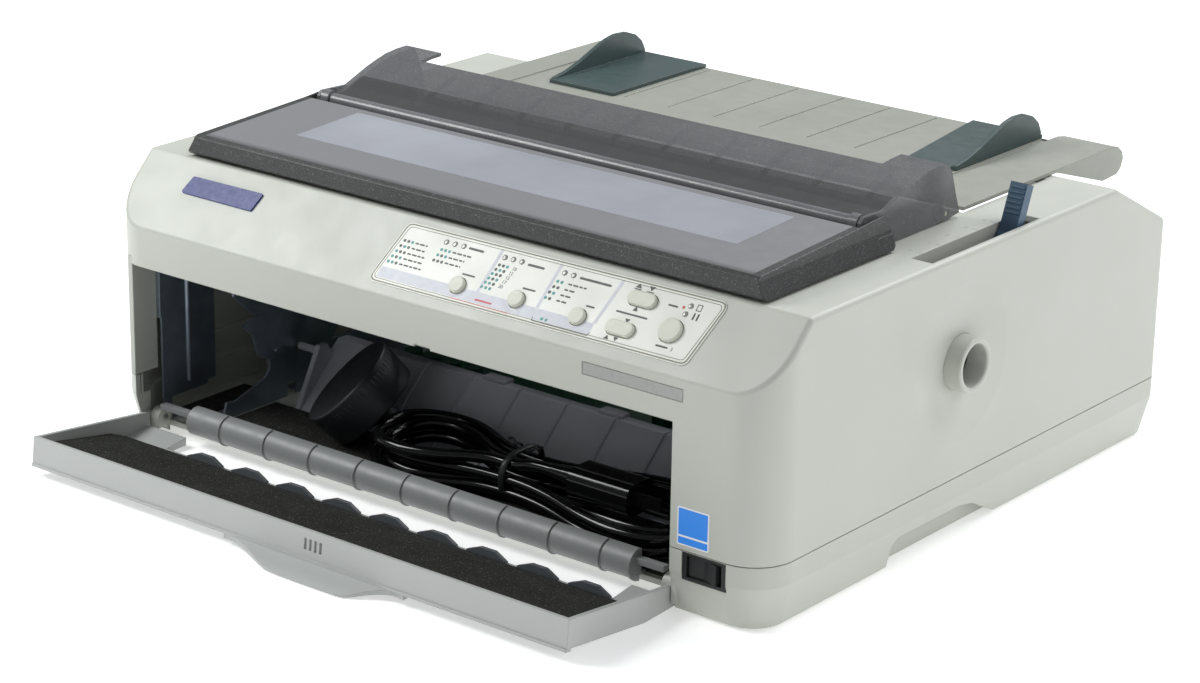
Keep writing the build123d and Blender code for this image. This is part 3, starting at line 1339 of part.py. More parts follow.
def cord_connector():
    """The appliance connector on the other end of the lead, standing on its edge."""
    x, y, z = CONNECTOR_START
    relief = Pos(x, y - 5, z) * Rot(90, 0, 0) * Cone(3.4, 4.8, 10)
    body = box(x - 6.8, x + 6.8, y - 31, y - 9, z - 10, z + 10)
    body = fillet(body.edges().filter_by(Axis.Y), 3)
    slots = [(0, 5), (0, -5), (3.5, 0)]
    for dx, dz in slots:
        body = body - box(x + dx - 0.9, x + dx + 0.9, y - 32, y - 16, z + dz - 1.8, z + dz + 1.8)
    return relief + body


# ---------------------------------------------------------------- writing the nodes
def main():
    save("base_pan", base_pan())
    save("upper_case", upper_case())
    save("rubber_feet", *rubber_feet())
    save("case_screws", *case_screws())
    save("front_cover", front_cover())
    save("cover_foam", cover_foam())
    save("cover_hinge_pins", *cover_hinge_pins())
    save("base_foam", *base_foam())
    save("front_guide_bar", front_guide_bar())
    save("inner_paper_guide", inner_paper_guide())
    save("left_shield", left_shield())
    save("left_frame", left_frame())
    save("right_frame", right_frame())
    save("platen", platen())
    save("platen_shaft", platen_shaft())
    save("shaft_bushings", *shaft_bushings())
    save("platen_gear", platen_gear())
    save("feed_pinion", feed_pinion())
    save("idler_gear", idler_gear())
    save("tractor_shaft", tractor_shaft())
    save("left_tractor", tractor(-95.0))
    save("right_tractor", tractor(80.0))
    save("feed_motor", feed_motor())
    save("carriage", carriage())
    save("print_head", print_head())
    save("carriage_rod", carriage_rod())
    save("drive_belt", drive_belt())
    save("drive_pulley", drive_pulley())
    save("idler_pulley", idler_pulley())
    save("carriage_motor", carriage_motor())
    save("motor_mounts", *motor_mounts())
    save("ribbon_cartridge", ribbon_cartridge())
    save("ink_ribbon", ink_ribbon())
    save("main_board", main_board())
    save("power_board", power_board())
    save("panel_board", panel_board())
    save("mains_inlet", inlet_socket())
    save("interface_sockets", *interface_sockets())
    save("control_panel", control_panel())
    for name in BUTTON_NAMES:
        save(name, push_button(name))
    save("switch_body", switch_body())
    save("power_rocker", power_rocker())
    save("knob_collar", knob_collar())
    save("printer_lid", printer_lid())
    save("lid_window", lid_window())
    save("tension_unit", tension_unit())
    save("tension_roller", tension_roller())
    save("rear_paper_guide", rear_paper_guide())
    save("left_edge_guide", left_edge_guide())
    save("right_edge_guide", right_edge_guide())
    save("release_lever", release_lever())
    save("platen_knob", platen_knob())
    save("power_cord", power_cord())
    save("mains_plug", mains_plug())
    save("cord_connector", cord_connector())


main()
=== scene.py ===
import math

import bmesh
import bpy
from mathutils import Matrix, Vector


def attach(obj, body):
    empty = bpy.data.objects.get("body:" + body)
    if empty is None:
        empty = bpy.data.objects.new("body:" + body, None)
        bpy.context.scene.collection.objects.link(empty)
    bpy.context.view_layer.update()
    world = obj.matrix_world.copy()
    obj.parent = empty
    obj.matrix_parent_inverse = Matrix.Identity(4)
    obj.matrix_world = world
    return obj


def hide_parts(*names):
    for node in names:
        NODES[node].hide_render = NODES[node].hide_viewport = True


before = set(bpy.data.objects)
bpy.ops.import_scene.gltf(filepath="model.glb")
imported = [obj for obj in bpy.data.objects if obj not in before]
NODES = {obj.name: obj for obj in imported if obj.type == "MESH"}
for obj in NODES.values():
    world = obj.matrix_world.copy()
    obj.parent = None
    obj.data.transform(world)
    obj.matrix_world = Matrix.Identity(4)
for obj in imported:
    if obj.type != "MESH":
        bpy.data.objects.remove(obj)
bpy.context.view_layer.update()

# ---------------------------------------------------------------- shared sizes, in case millimetres
CASE_TO_FRAME = (-4.0, 33.75)
FRONT_Y = -175.0
DECK_Z = 145.5
SLOPE_START_Z = 114.0
SLOPE_ANGLE = math.atan2(31.5, 31.0)
OVERLAY_TOP = 0.5
PRINT_LOW, PRINT_HIGH = 0.40, 0.56
DISC_SIDES = 20


def at(x, y, z):
    """A point of the case, in millimetres, as the frame's metres."""
    return Vector(((x + CASE_TO_FRAME[0]) / 1000, (y + CASE_TO_FRAME[1]) / 1000, z / 1000))


def on_slope(x, up, height):
    """A point by its place on the sloped front, and its height along the slope's normal."""
    c, s = math.cos(SLOPE_ANGLE), math.sin(SLOPE_ANGLE)
    return at(x, FRONT_Y + up * c - height * s, SLOPE_START_Z + up * s + height * c)


def on_deck(x, y, height):
    return at(x, y, DECK_Z + height)


def on_front(x, z, height):
    return at(x, FRONT_Y - height, z)


# ---------------------------------------------------------------- camera
camera_data = bpy.data.cameras.new("camera")
camera_data.lens = 98.76
camera_data.sensor_width = 36.0
camera_data.sensor_fit = "HORIZONTAL"
camera_data.clip_start = 0.05
camera_data.clip_end = 60.0
camera = bpy.data.objects.new("camera", camera_data)
bpy.context.scene.collection.objects.link(camera)
EYE = (0.97564, -1.24203, 0.61011)
RIGHT = (0.78202263, 0.62304987, 0.01579484)
UP = (-0.21694881, 0.24837119, 0.94405771)
BACK = (0.58427205, -0.74170116, 0.32940182)
camera.matrix_world = Matrix([[*row] for row in zip(RIGHT, UP, BACK, EYE)] + [[0, 0, 0, 1]])
bpy.context.scene.camera = camera


# ---------------------------------------------------------------- materials
PATCH_SOFTNESS = 0.00015
GLOSS_SPREAD = 0.05
GLOSS_FLOOR = 0.02
BEVEL_SAMPLES = 4
SCRATCH_STRETCH = (30.0, 2500.0, 60.0)


def add(tree, kind, **inputs):
    """Adds one shader node and sets its named inputs."""
    node = tree.nodes.new(kind)
    for key, value in inputs.items():
        node.inputs[key.replace("_", " ")].default_value = value
    return node


def noise(tree, vector, scale, detail=2.0, roughness=0.5):
    node = add(tree, "ShaderNodeTexNoise", Scale=scale, Detail=detail, Roughness=roughness)
    tree.links.new(vector, node.inputs["Vector"])
    return node.outputs["Fac"]


def spread(tree, value, low, high, to_low, to_high):
    """Maps a value from one span to another, clamped."""
    node = add(tree, "ShaderNodeMapRange")
    for name, number in zip(("From Min", "From Max", "To Min", "To Max"), (low, high, to_low, to_high)):
        node.inputs[name].default_value = number
    tree.links.new(value, node.inputs["Value"])
    return node.outputs["Result"]


def blend(tree, factor, first, second):
    """A colour between two, by a factor; each is a colour or a socket."""
    node = tree.nodes.new("ShaderNodeMix")
    node.data_type = "RGBA"
    tree.links.new(factor, node.inputs["Factor"])
    for name, value in (("A", first), ("B", second)):
        socket = next(i for i in node.inputs if i.name == name and i.type == "RGBA")
        if isinstance(value, tuple):
            socket.default_value = value
        else:
            tree.links.new(value, socket)
    return next(o for o in node.outputs if o.type == "RGBA")


def math_node(tree, operation, first, second):
    node = tree.nodes.new("ShaderNodeMath")
    node.operation = operation
    for socket, value in zip(node.inputs, (first, second)):
        if isinstance(value, (int, float)):
            socket.default_value = value
        else:
            tree.links.new(value, socket)
    return node.outputs["Value"]


def rgba(colour, gain=1.0):
    return (*[min(1.0, c * gain) for c in colour], 1.0)


def inside(tree, coordinates, lows, highs):
    """1 inside a box given in metres, 0 outside, as a product of soft steps."""
    total = None
    split = tree.nodes.new("ShaderNodeSeparateXYZ")
    tree.links.new(coordinates, split.inputs["Vector"])
    for axis in range(3):
        low, high = lows[axis], highs[axis]
        rise = spread(tree, split.outputs[axis], low - PATCH_SOFTNESS, low + PATCH_SOFTNESS, 0.0, 1.0)
        fall = spread(tree, split.outputs[axis], high - PATCH_SOFTNESS, high + PATCH_SOFTNESS, 1.0, 0.0)
        step = math_node(tree, "MULTIPLY", rise, fall)
        total = step if total is None else math_node(tree, "MULTIPLY", total, step)
    return total


def surface(
    name,
    colour,
    rough,
    metal=0.0,
    specular=0.5,
    mottle=(14.0, 0.05),
    grain=(1300.0, 0.00001),
    speckle=None,
    scratches=0.0,
    coat=0.0,
    alpha=1.0,
    rounding=0.0,
    painted_light_boxes=(),
):
    """A procedural surface: colour drift, fine grain, specks, varied gloss and boxes of painted light and
    shade.
    """
    material = bpy.data.materials.new(name)
    material.use_nodes = True
    tree = material.node_tree
    shader = tree.nodes["Principled BSDF"]
    place = tree.nodes.new("ShaderNodeTexCoord").outputs["Object"]
    scale, amount = mottle
    drift = noise(tree, place, scale, 4.0, 0.6)
    drift = spread(tree, drift, 0.3, 0.7, 0.0, 1.0)
    tint = blend(tree, drift, rgba(colour, 1 - amount), rgba(colour, 1 + amount))
    if speckle:
        speck_scale, low, high, speck_colour = speckle
        specks = spread(tree, noise(tree, place, speck_scale, 1.0), low, high, 0.0, 1.0)
        tint = blend(tree, specks, tint, rgba(speck_colour))
    # Each box lays a painted light or painted shade colour over part of the surface.
    for lows, highs, painted_colour in painted_light_boxes:
        tint = blend(tree, inside(tree, place, at(*lows), at(*highs)), tint, rgba(painted_colour))
    tree.links.new(tint, shader.inputs["Base Color"])
    least, most = max(GLOSS_FLOOR, rough - GLOSS_SPREAD), min(1.0, rough + GLOSS_SPREAD)
    gloss = noise(tree, place, scale * 7, 3.0)
    gloss = spread(tree, gloss, 0.3, 0.7, least, most)
    tree.links.new(gloss, shader.inputs["Roughness"])
    grain_scale, depth = grain
    bump = add(tree, "ShaderNodeBump", Strength=1.0, Distance=depth)
    height = noise(tree, place, grain_scale, 2.0)
    if scratches:
        stretch = tree.nodes.new("ShaderNodeMapping")
        stretch.inputs["Scale"].default_value = SCRATCH_STRETCH
        tree.links.new(place, stretch.inputs["Vector"])
        streaks = noise(tree, stretch.outputs["Vector"], 1.0, 3.0)
        height = math_node(tree, "ADD", height, math_node(tree, "MULTIPLY", streaks, scratches))
    tree.links.new(height, bump.inputs["Height"])
    if rounding:
        bevel = add(tree, "ShaderNodeBevel", Radius=rounding)
        bevel.samples = BEVEL_SAMPLES
        tree.links.new(bevel.outputs["Normal"], bump.inputs["Normal"])
    tree.links.new(bump.outputs["Normal"], shader.inputs["Normal"])
    shader.inputs["Metallic"].default_value = metal
    shader.inputs["Specular IOR Level"].default_value = specular
    shader.inputs["Coat Weight"].default_value = coat
    shader.inputs["Alpha"].default_value = alpha
    return material


CASE = surface(
    "case_plastic",
    (0.505, 0.525, 0.475),
    0.42,
    mottle=(6.0, 0.025),
    grain=(1500.0, 0.000012),
    rounding=0.0009,
)
# The cover's box over the teeth along its rear edge is painted shade: it colours them dark.
COVER = surface(
    "cover_plastic",
    (0.47, 0.485, 0.475),
    0.42,
    mottle=(6.0, 0.025),
    grain=(1500.0, 0.000012),
    rounding=0.0007,
    painted_light_boxes=[((-144.5, -186.8, 3.5), (130.5, -183.2, 8.0), (0.10, 0.11, 0.12))],
)
BAR = surface(
    "bar_plastic", (0.27, 0.28, 0.28), 0.45, mottle=(30.0, 0.05), grain=(1200.0, 0.00001), rounding=0.0005
)
INNER = surface("inner_plastic", (0.50, 0.52, 0.56), 0.4, mottle=(25.0, 0.06), rounding=0.0005)
REAR = surface("rear_plastic", (0.31, 0.325, 0.285), 0.38, mottle=(18.0, 0.05), rounding=0.0007)
EDGE = surface("edge_plastic", (0.05, 0.08, 0.08), 0.34, mottle=(25.0, 0.08), rounding=0.0005)
LEVER = surface("lever_plastic", (0.05, 0.10, 0.165), 0.4, mottle=(60.0, 0.08), rounding=0.0004)
# The lid's box over its top face is painted light: it colours the top lighter than the front.
SMOKE = surface(
    "smoke_plastic",
    (0.045, 0.047, 0.047),
    0.34,
    mottle=(20.0, 0.1),
    grain=(900.0, 0.00002),
    speckle=(1500.0, 0.60, 0.72, (0.16, 0.165, 0.165)),
    alpha=0.95,
    rounding=0.0008,
    painted_light_boxes=[((-171.0, -140.6, 157.4), (171.0, -40.0, 166.0), (0.22, 0.225, 0.235))],
)
WINDOW = surface(
    "smoke_window", (0.42, 0.435, 0.485), 0.2, mottle=(9.0, 0.12), grain=(250.0, 0.00001), alpha=0.8
)
# The tension unit's box over its front band is painted shade: it colours that band darker.
UNIT = surface(
    "smoke_unit",
    (0.13, 0.134, 0.142),
    0.24,
    mottle=(15.0, 0.1),
    grain=(700.0, 0.00001),
    speckle=(1500.0, 0.62, 0.74, (0.25, 0.255, 0.26)),
    alpha=0.82,
    painted_light_boxes=[((-169.0, -60.0, 140.0), (169.0, -26.0, 190.0), (0.07, 0.072, 0.076))],
)
ROLLER = surface("roller_plastic", (0.15, 0.155, 0.165), 0.26, mottle=(40.0, 0.1))
PANEL = surface("panel_film", (0.74, 0.755, 0.70), 0.36, mottle=(8.0, 0.015), grain=(1200.0, 0.000005))
BUTTON = surface("button_plastic", (0.62, 0.64, 0.55), 0.42, mottle=(60.0, 0.04), grain=(1500.0, 0.00001))
FOAM = surface(
    "foam",
    (0.026, 0.027, 0.025),
    0.95,
    specular=0.15,
    mottle=(60.0, 0.2),
    grain=(620.0, 0.0006),
    speckle=(1250.0, 0.62, 0.80, (0.20, 0.20, 0.17)),
)
CORD = surface(
    "cord_rubber",
    (0.003, 0.0032, 0.0035),
    0.14,
    specular=0.35,
    mottle=(80.0, 0.2),
    grain=(160.0, 0.000003),
)
KNOB = surface("knob_plastic", (0.014, 0.016, 0.019), 0.42, mottle=(50.0, 0.15), grain=(900.0, 0.00002))
BLACK = surface("black_plastic", (0.018, 0.019, 0.02), 0.4, mottle=(60.0, 0.15))
RUBBER = surface("platen_rubber", (0.022, 0.022, 0.023), 0.65, mottle=(60.0, 0.15), grain=(900.0, 0.00002))
ZINC = surface(
    "zinc_sheet", (0.30, 0.35, 0.41), 0.33, metal=0.75, mottle=(45.0, 0.18), scratches=0.4, rounding=0.0004
)
STEEL = surface("bright_steel", (0.62, 0.62, 0.62), 0.28, metal=1.0, mottle=(60.0, 0.06), scratches=0.5)
ALLOY = surface("head_alloy", (0.45, 0.46, 0.48), 0.45, metal=0.9, mottle=(80.0, 0.1))
GEAR = surface("gear_plastic", (0.68, 0.67, 0.62), 0.45, mottle=(60.0, 0.04))
BRASS = surface("pinion_brass", (0.72, 0.56, 0.28), 0.3, metal=1.0, mottle=(90.0, 0.08))
MOTOR = surface("motor_steel", (0.04, 0.04, 0.042), 0.4, metal=0.4, mottle=(60.0, 0.1))
BELT = surface("belt_rubber", (0.02, 0.02, 0.02), 0.7, mottle=(60.0, 0.1))
RIBBON = surface("ribbon_fabric", (0.012, 0.012, 0.016), 0.9, mottle=(200.0, 0.3), grain=(2500.0, 0.00005))
BOARD = surface("board", (0.03, 0.14, 0.075), 0.35, mottle=(120.0, 0.15))
SOCKET = surface("socket_metal", (0.5, 0.5, 0.5), 0.35, metal=0.9, mottle=(80.0, 0.08))
PRINT = surface("panel_print", (0.035, 0.04, 0.035), 0.45, mottle=(200.0, 0.1), grain=(1500.0, 0.000002))
LINE = surface("panel_line", (0.16, 0.165, 0.10), 0.45, mottle=(200.0, 0.1), grain=(1500.0, 0.000002))
BAND = surface("panel_band", (0.55, 0.565, 0.63), 0.4, mottle=(60.0, 0.03), grain=(1500.0, 0.000002))
TEAL = surface("panel_teal", (0.03, 0.28, 0.27), 0.45, mottle=(200.0, 0.08), grain=(1500.0, 0.000002))
RED = surface("panel_red", (0.55, 0.05, 0.06), 0.45, mottle=(200.0, 0.08), grain=(1500.0, 0.000002))
LAMP = surface("panel_lamp", (0.30, 0.30, 0.28), 0.25, mottle=(300.0, 0.1), coat=0.5)
BADGE = surface("badge_blue", (0.008, 0.018, 0.17), 0.3, specular=0.25, mottle=(60.0, 0.06))
PLATE = surface("plate_pale", (0.34, 0.35, 0.33), 0.3, mottle=(40.0, 0.03), coat=0.2)
LABEL_BLUE = surface("label_blue", (0.045, 0.29, 0.92), 0.35, mottle=(60.0, 0.04))
LABEL_WHITE = surface("label_white", (0.86, 0.87, 0.88), 0.4, mottle=(60.0, 0.02))
MARK = surface("deck_mark", (0.40, 0.41, 0.38), 0.5, mottle=(200.0, 0.05))

NODE_MATERIALS = {
    CASE: ["upper_case", "base_pan", "knob_collar"],
    COVER: ["front_cover"],
    RUBBER: ["rubber_feet", "platen"],
    STEEL: [
        "case_screws", "cover_hinge_pins", "platen_shaft", "tractor_shaft", "carriage_rod",
    ],
    FOAM: ["cover_foam", "base_foam"],
    BAR: ["front_guide_bar"],
    INNER: ["inner_paper_guide"],
    ZINC: ["left_shield", "left_frame", "right_frame", "motor_mounts"],
    GEAR: ["platen_gear", "idler_gear", "drive_pulley", "idler_pulley", "left_tractor", "right_tractor"],
    BRASS: ["feed_pinion"],
    MOTOR: ["feed_motor", "carriage_motor"],
    BLACK: [
        "shaft_bushings", "carriage", "ribbon_cartridge", "mains_inlet", "switch_body", "power_rocker",
        "panel_board",
    ],
    ALLOY: ["print_head"],
    BELT: ["drive_belt"],
    RIBBON: ["ink_ribbon"],
    BOARD: ["main_board", "power_board"],
    SOCKET: ["interface_sockets"],
    PANEL: ["control_panel"],
    BUTTON: ["font_button", "pitch_button", "tear_button", "load_button", "feed_button", "pause_button"],
    SMOKE: ["printer_lid"],
    WINDOW: ["lid_window"],
    UNIT: ["tension_unit"],
    ROLLER: ["tension_roller"],
    REAR: ["rear_paper_guide"],
    EDGE: ["left_edge_guide", "right_edge_guide"],
    LEVER: ["release_lever"],
    KNOB: ["platen_knob"],
    CORD: ["mains_plug", "cord_connector", "power_cord"],
}
for material, names in NODE_MATERIALS.items():
    for name in names:
        mesh = NODES[name].data
        mesh.materials.clear()
        mesh.materials.append(material)


# ---------------------------------------------------------------- mesh helpers
def piece(name, mesh, material, body, smooth=False):
    """Puts a finished mesh or curve in the scene, riding on one body."""
    obj = bpy.data.objects.new(name, mesh)
    bpy.context.scene.collection.objects.link(obj)
    mesh.materials.append(material)
    if smooth:
        for polygon in mesh.polygons:
            polygon.use_smooth = True
    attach(obj, body)
    return obj


def prism(bm, outline, place, low, high):
    """A closed solid over a flat outline, between two heights."""
    bottom = [bm.verts.new(place(x, y, low)) for x, y in outline]
    top = [bm.verts.new(place(x, y, high)) for x, y in outline]
    count = len(outline)
    bm.faces.new(bottom[::-1])
    bm.faces.new(top)
    for i in range(count):
        j = (i + 1) % count
        bm.faces.new((bottom[i], bottom[j], top[j], top[i]))


def frame_prism(bm, outer, inner, place, low, high):
    """A closed solid between two outlines with the same count of points."""
    rings = [
        [bm.verts.new(place(x, y, height)) for x, y in outline]
        for outline, height in ((outer, low), (outer, high), (inner, high), (inner, low))
    ]
    count = len(outer)
    for ring, following in zip(rings, rings[1:] + rings[:1]):
        for i in range(count):
            j = (i + 1) % count
            bm.faces.new((ring[i], ring[j], following[j], following[i]))


def finished(bm, name):
    bmesh.ops.recalc_face_normals(bm, faces=bm.faces)
    mesh = bpy.data.meshes.new(name)
    bm.to_mesh(mesh)
    bm.free()
    return mesh


def prisms(name, outlines, place, low, high, material):
    """Flat marks on the case, one closed solid over each outline."""
    bm = bmesh.new()
    for outline in outlines:
        prism(bm, outline, place, low, high)
    return piece(name, finished(bm, name), material, "case")


CORNER_STEPS = 5


def rounded(corners, radius):
    """An outline with each corner turned by an arc."""
    points = []
    count = len(corners)
    for i in range(count):
        before, corner, after = (Vector(corners[(i + k) % count]) for k in (-1, 0, 1))
        to_before, to_after = (before - corner).normalized(), (after - corner).normalized()
        half = to_before.angle(to_after) / 2
        reach = radius / math.tan(half)
        start, end = corner + to_before * reach, corner + to_after * reach
        for k in range(CORNER_STEPS + 1):
            t = k / CORNER_STEPS
            points.append(tuple(start * (1 - t) ** 2 + corner * 2 * t * (1 - t) + end * t * t))
    return points


def circle(x, y, r, count=DISC_SIDES):
    turns = [2 * math.pi * k / count for k in range(count)]
    return [(x + r * math.cos(a), y + r * math.sin(a)) for a in turns]


def bar(x0, y0, x1, y1, width):
    """A stroke with rounded ends."""
    run = Vector((x1 - x0, y1 - y0))
    along = math.atan2(run.y, run.x)
    points = []
    for cx, cy, start in ((x1, y1, along - math.pi / 2), (x0, y0, along + math.pi / 2)):
        for k in range(5):
            a = start + math.pi * k / 4
            points.append((cx + width / 2 * math.cos(a), cy + width / 2 * math.sin(a)))
    return points


def rectangle(x0, y0, x1, y1):
    return [(x0, y0), (x1, y0), (x1, y1), (x0, y1)]


def numerals(name, items, place, low, high, material):
    """Plain numbers, each given as text, place and height."""
    joined = bmesh.new()
    for text, x, y, size in items:
        curve = bpy.data.curves.new(name + "_text", "FONT")
        curve.body = text
        curve.size = size
        curve.extrude = 0.5
        curve.resolution_u = 3
        source = bpy.data.objects.new(name + "_text", curve)
        bpy.context.scene.collection.objects.link(source)
        bpy.context.view_layer.update()
        flat = bpy.data.meshes.new_from_object(source)
        part = bmesh.new()
        part.from_mesh(flat)
        bmesh.ops.remove_doubles(part, verts=part.verts, dist=0.0001)
        for vert in part.verts:
            height = high if vert.co.z > 0 else low
            vert.co = place(x + vert.co.x, y + vert.co.y, height)
        part.to_mesh(flat)
        part.free()
        joined.from_mesh(flat)
        bpy.data.objects.remove(source)
        bpy.data.curves.remove(curve)
        bpy.data.meshes.remove(flat)
    return piece(name, finished(joined, name), material, "case")


# ---------------------------------------------------------------- mains lead
CORD_D = 6.1
FOAM_TOP = 10.0
HANK_LEFT, HANK_RIGHT = -33.0, 113.0
HANK_Y = -128.3
HANK_WAIST_X = 28.0
HANK_STEP = CORD_D + 0.8
HANK_INNER = 3 * CORD_D + 0.1
HANK_OUTER = HANK_INNER + HANK_STEP
HANK_TILT = math.radians(8.0)
HANK_BASE = FOAM_TOP + CORD_D / 2 + 0.2 + HANK_OUTER * math.sin(HANK_TILT)
WAIST_STEP = HANK_STEP + 0.8
BACK_RUNS = [(HANK_OUTER, 0), (HANK_INNER, 0), (HANK_INNER, 1), (HANK_OUTER, 1)]
FRONT_LEFT = [(HANK_OUTER, 0), (HANK_INNER, 0), (HANK_INNER, 1), (HANK_OUTER - 1.5, 2)]
BACK_WAIST = [(1.5, 0), (0.5, 0), (0.5, 1), (1.5, 1)]
FRONT_WAIST = [(1.5, 0), (0.5, 0), (1.5, 1), (1.15, 2)]
FRONT_RIGHT = [(HANK_OUTER, 0), (HANK_INNER, 1), (HANK_OUTER, 1)]
PLUG_START = Vector((57.0, -139.0, 33.8))
CONNECTOR_START = Vector((158.4, -128.3, 17.4))
TO_RIGHT, TO_LEFT = Vector((1, 0, 0)), Vector((-1, 0, 0))
TO_BACK = Vector((0, math.cos(HANK_TILT), math.sin(HANK_TILT)))


def hank_point(x, across, layer):
    tilted = across * math.cos(HANK_TILT), across * math.sin(HANK_TILT)
    return Vector((x, HANK_Y + tilted[0], HANK_BASE + tilted[1] + layer * HANK_STEP))


def turn_apex(x, side, behind, before):
    """The outermost point of a turn between the run behind and the run before."""
    radius = (behind[0] + before[0]) / 2
    return hank_point(x + side * radius, behind[0] - radius, (behind[1] + before[1]) / 2)


def cord_stations():
    """Points and directions that the lead passes, from the connector to the plug."""
    back_x = CONNECTOR_START.x - HANK_INNER
    stations = [
        (CONNECTOR_START, Vector((0, 1, 0))),
        (CONNECTOR_START + Vector((0, CORD_D, 0)), Vector((0, 1, 0))),
        (hank_point(back_x, HANK_OUTER, 0), TO_LEFT),
    ]
    for loop in range(4):
        behind, before = BACK_RUNS[loop], FRONT_LEFT[loop]
        across, layer = BACK_WAIST[loop]
        stations.append((hank_point(HANK_RIGHT, *behind), TO_LEFT))
        stations.append((hank_point(HANK_WAIST_X, across * WAIST_STEP, layer), TO_LEFT))
        stations.append((hank_point(HANK_LEFT, *behind), TO_LEFT))
        stations.append((turn_apex(HANK_LEFT, -1, behind, before), -TO_BACK))
        stations.append((hank_point(HANK_LEFT, -before[0], before[1]), TO_RIGHT))
        across, layer = FRONT_WAIST[loop]
        stations.append((hank_point(HANK_WAIST_X, -across * WAIST_STEP, layer), TO_RIGHT))
        if loop < 3:
            end, onward = FRONT_RIGHT[loop], BACK_RUNS[loop + 1]
            stations.append((hank_point(HANK_RIGHT, -end[0], end[1]), TO_RIGHT))
            stations.append((turn_apex(HANK_RIGHT, 1, onward, end), TO_BACK))
    stations.append((PLUG_START - TO_RIGHT * CORD_D, TO_RIGHT))
    stations.append((PLUG_START, TO_RIGHT))
    return stations


def route_corners(p0, t0, p1, t1):
    """The route's corners between two stations: where their directions' lines bend to meet."""
    v, t = p1 - p0, t0 + t1
    if v.normalized().cross(t0).length < 1e-6 and v.normalized().cross(t1).length < 1e-6:
        return []
    dot = v.dot(t)
    room = 2 * (1 - t0.dot(t1))
    if room < 1e-6:
        reach = v.dot(v) / (4 * v.dot(t1))
    else:
        reach = (-dot + math.sqrt(dot**2 + room * v.dot(v))) / room
    return [p0 + t0 * reach, p1 - t1 * reach]


stations = cord_stations()
route = [stations[0][0]]
for (p0, t0), (p1, t1) in zip(stations, stations[1:]):
    route.extend(route_corners(p0, t0, p1, t1))
route.append(stations[-1][0])
cord_curve = bpy.data.curves.new("mains_lead", "CURVE")
cord_curve.dimensions = "3D"
cord_curve.resolution_u = 6
cord_curve.bevel_depth = CORD_D / 2000
cord_curve.bevel_resolution = 5
cord_curve.use_fill_caps = True
spline = cord_curve.splines.new("NURBS")
spline.points.add(len(route) - 1)
for point, corner in zip(spline.points, route):
    point.co = (*at(*corner), 1.0)
spline.order_u = 3
spline.use_endpoint_u = True
mains_lead = piece("mains_lead", cord_curve, CORD, "case")
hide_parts("power_cord")

TIE_CENTRE = (HANK_Y + 0.6, HANK_BASE + HANK_STEP * 0.92)
TIE_HALF = (WAIST_STEP * 1.5 + CORD_D / 2 + 0.8, HANK_STEP + CORD_D / 2 + 1.6)


def tube(bm, points, r, sides):
    """A closed tube of round section along some points."""
    rings = []
    for i, point in enumerate(points):
        before, after = points[max(i - 1, 0)], points[min(i + 1, len(points) - 1)]
        along = (after - before).normalized()
        side = along.cross(Vector((0, 0, 1)))
        side = side.normalized() if side.length > 0.01 else Vector((1, 0, 0))
        up = side.cross(along)
        turns = [2 * math.pi * k / sides for k in range(sides)]
        ring = [point + side * r * math.cos(b) + up * r * math.sin(b) for b in turns]
        rings.append([bm.verts.new(at(*place)) for place in ring])
    for ring, following in zip(rings, rings[1:]):
        for k in range(sides):
            bm.faces.new((ring[k], ring[(k + 1) % sides], following[(k + 1) % sides], following[k]))
    bm.faces.new(rings[0][::-1])
    bm.faces.new(rings[-1])


TIE_STEPS, TIE_SIDES = 48, 8
TIE_THICK, TIE_WIDE = 0.9, 2.1
TIE_END_R = 0.75


def cord_tie():
    """A black wire tie pulled round the waist of the hank, with its twisted ends on top."""
    bm = bmesh.new()
    rings = []
    for i in range(TIE_STEPS):
        a = 2 * math.pi * i / TIE_STEPS
        c, s = math.cos(a), math.sin(a)
        wide = math.copysign(abs(c) ** 0.75, c) * TIE_HALF[0]
        tall = math.copysign(abs(s) ** 0.75, s) * TIE_HALF[1]
        outward = Vector((0, c, s))
        middle = Vector((HANK_WAIST_X + 1.2 * math.sin(a), TIE_CENTRE[0] + wide, TIE_CENTRE[1] + tall))
        ring = []
        for k in range(TIE_SIDES):
            b = 2 * math.pi * k / TIE_SIDES
            offset = Vector((TIE_WIDE * math.cos(b), 0, 0)) + outward * TIE_THICK * math.sin(b)
            ring.append(bm.verts.new(at(*(middle + offset))))
        rings.append(ring)
    for i in range(TIE_STEPS):
        ring, following = rings[i], rings[(i + 1) % TIE_STEPS]
        for k in range(TIE_SIDES):
            bm.faces.new((ring[k], ring[(k + 1) % TIE_SIDES], following[(k + 1) % TIE_SIDES], following[k]))
    for lean in (-1, 1):
        top = Vector((HANK_WAIST_X + lean * 2, TIE_CENTRE[0] + 3, TIE_CENTRE[1] + TIE_HALF[1] - 0.6))
        ends = []
        for k in range(9):
            t = k / 8
            twist = 2 * math.pi * 1.5 * t + (math.pi if lean > 0 else 0)
            step = Vector((lean * (1 + 9 * t) * 0.8, math.cos(twist), 2.4 * t + math.sin(twist)))
            ends.append(top + step)
        tube(bm, ends, TIE_END_R, 6)
    return finished(bm, "cord_tie")


tie = piece("cord_tie", cord_tie(), BLACK, "case", smooth=True)

# ---------------------------------------------------------------- printed panel
PANEL_OUTLINE = [(-32.9, 5.6), (157.4, 6.3), (164.0, 41.3), (-26.8, 40.0)]


def inset(corners, gap):
    """An outline's corners drawn in by a gap, for a slanted four-sided outline."""
    (x0, y0), (x1, y1), (x2, y2), (x3, y3) = corners
    sharp = gap * 1.1
    return [(x0 + sharp, y0 + gap), (x1 - gap, y1 + gap), (x2 - sharp, y2 - gap), (x3 + gap, y3 - gap)]


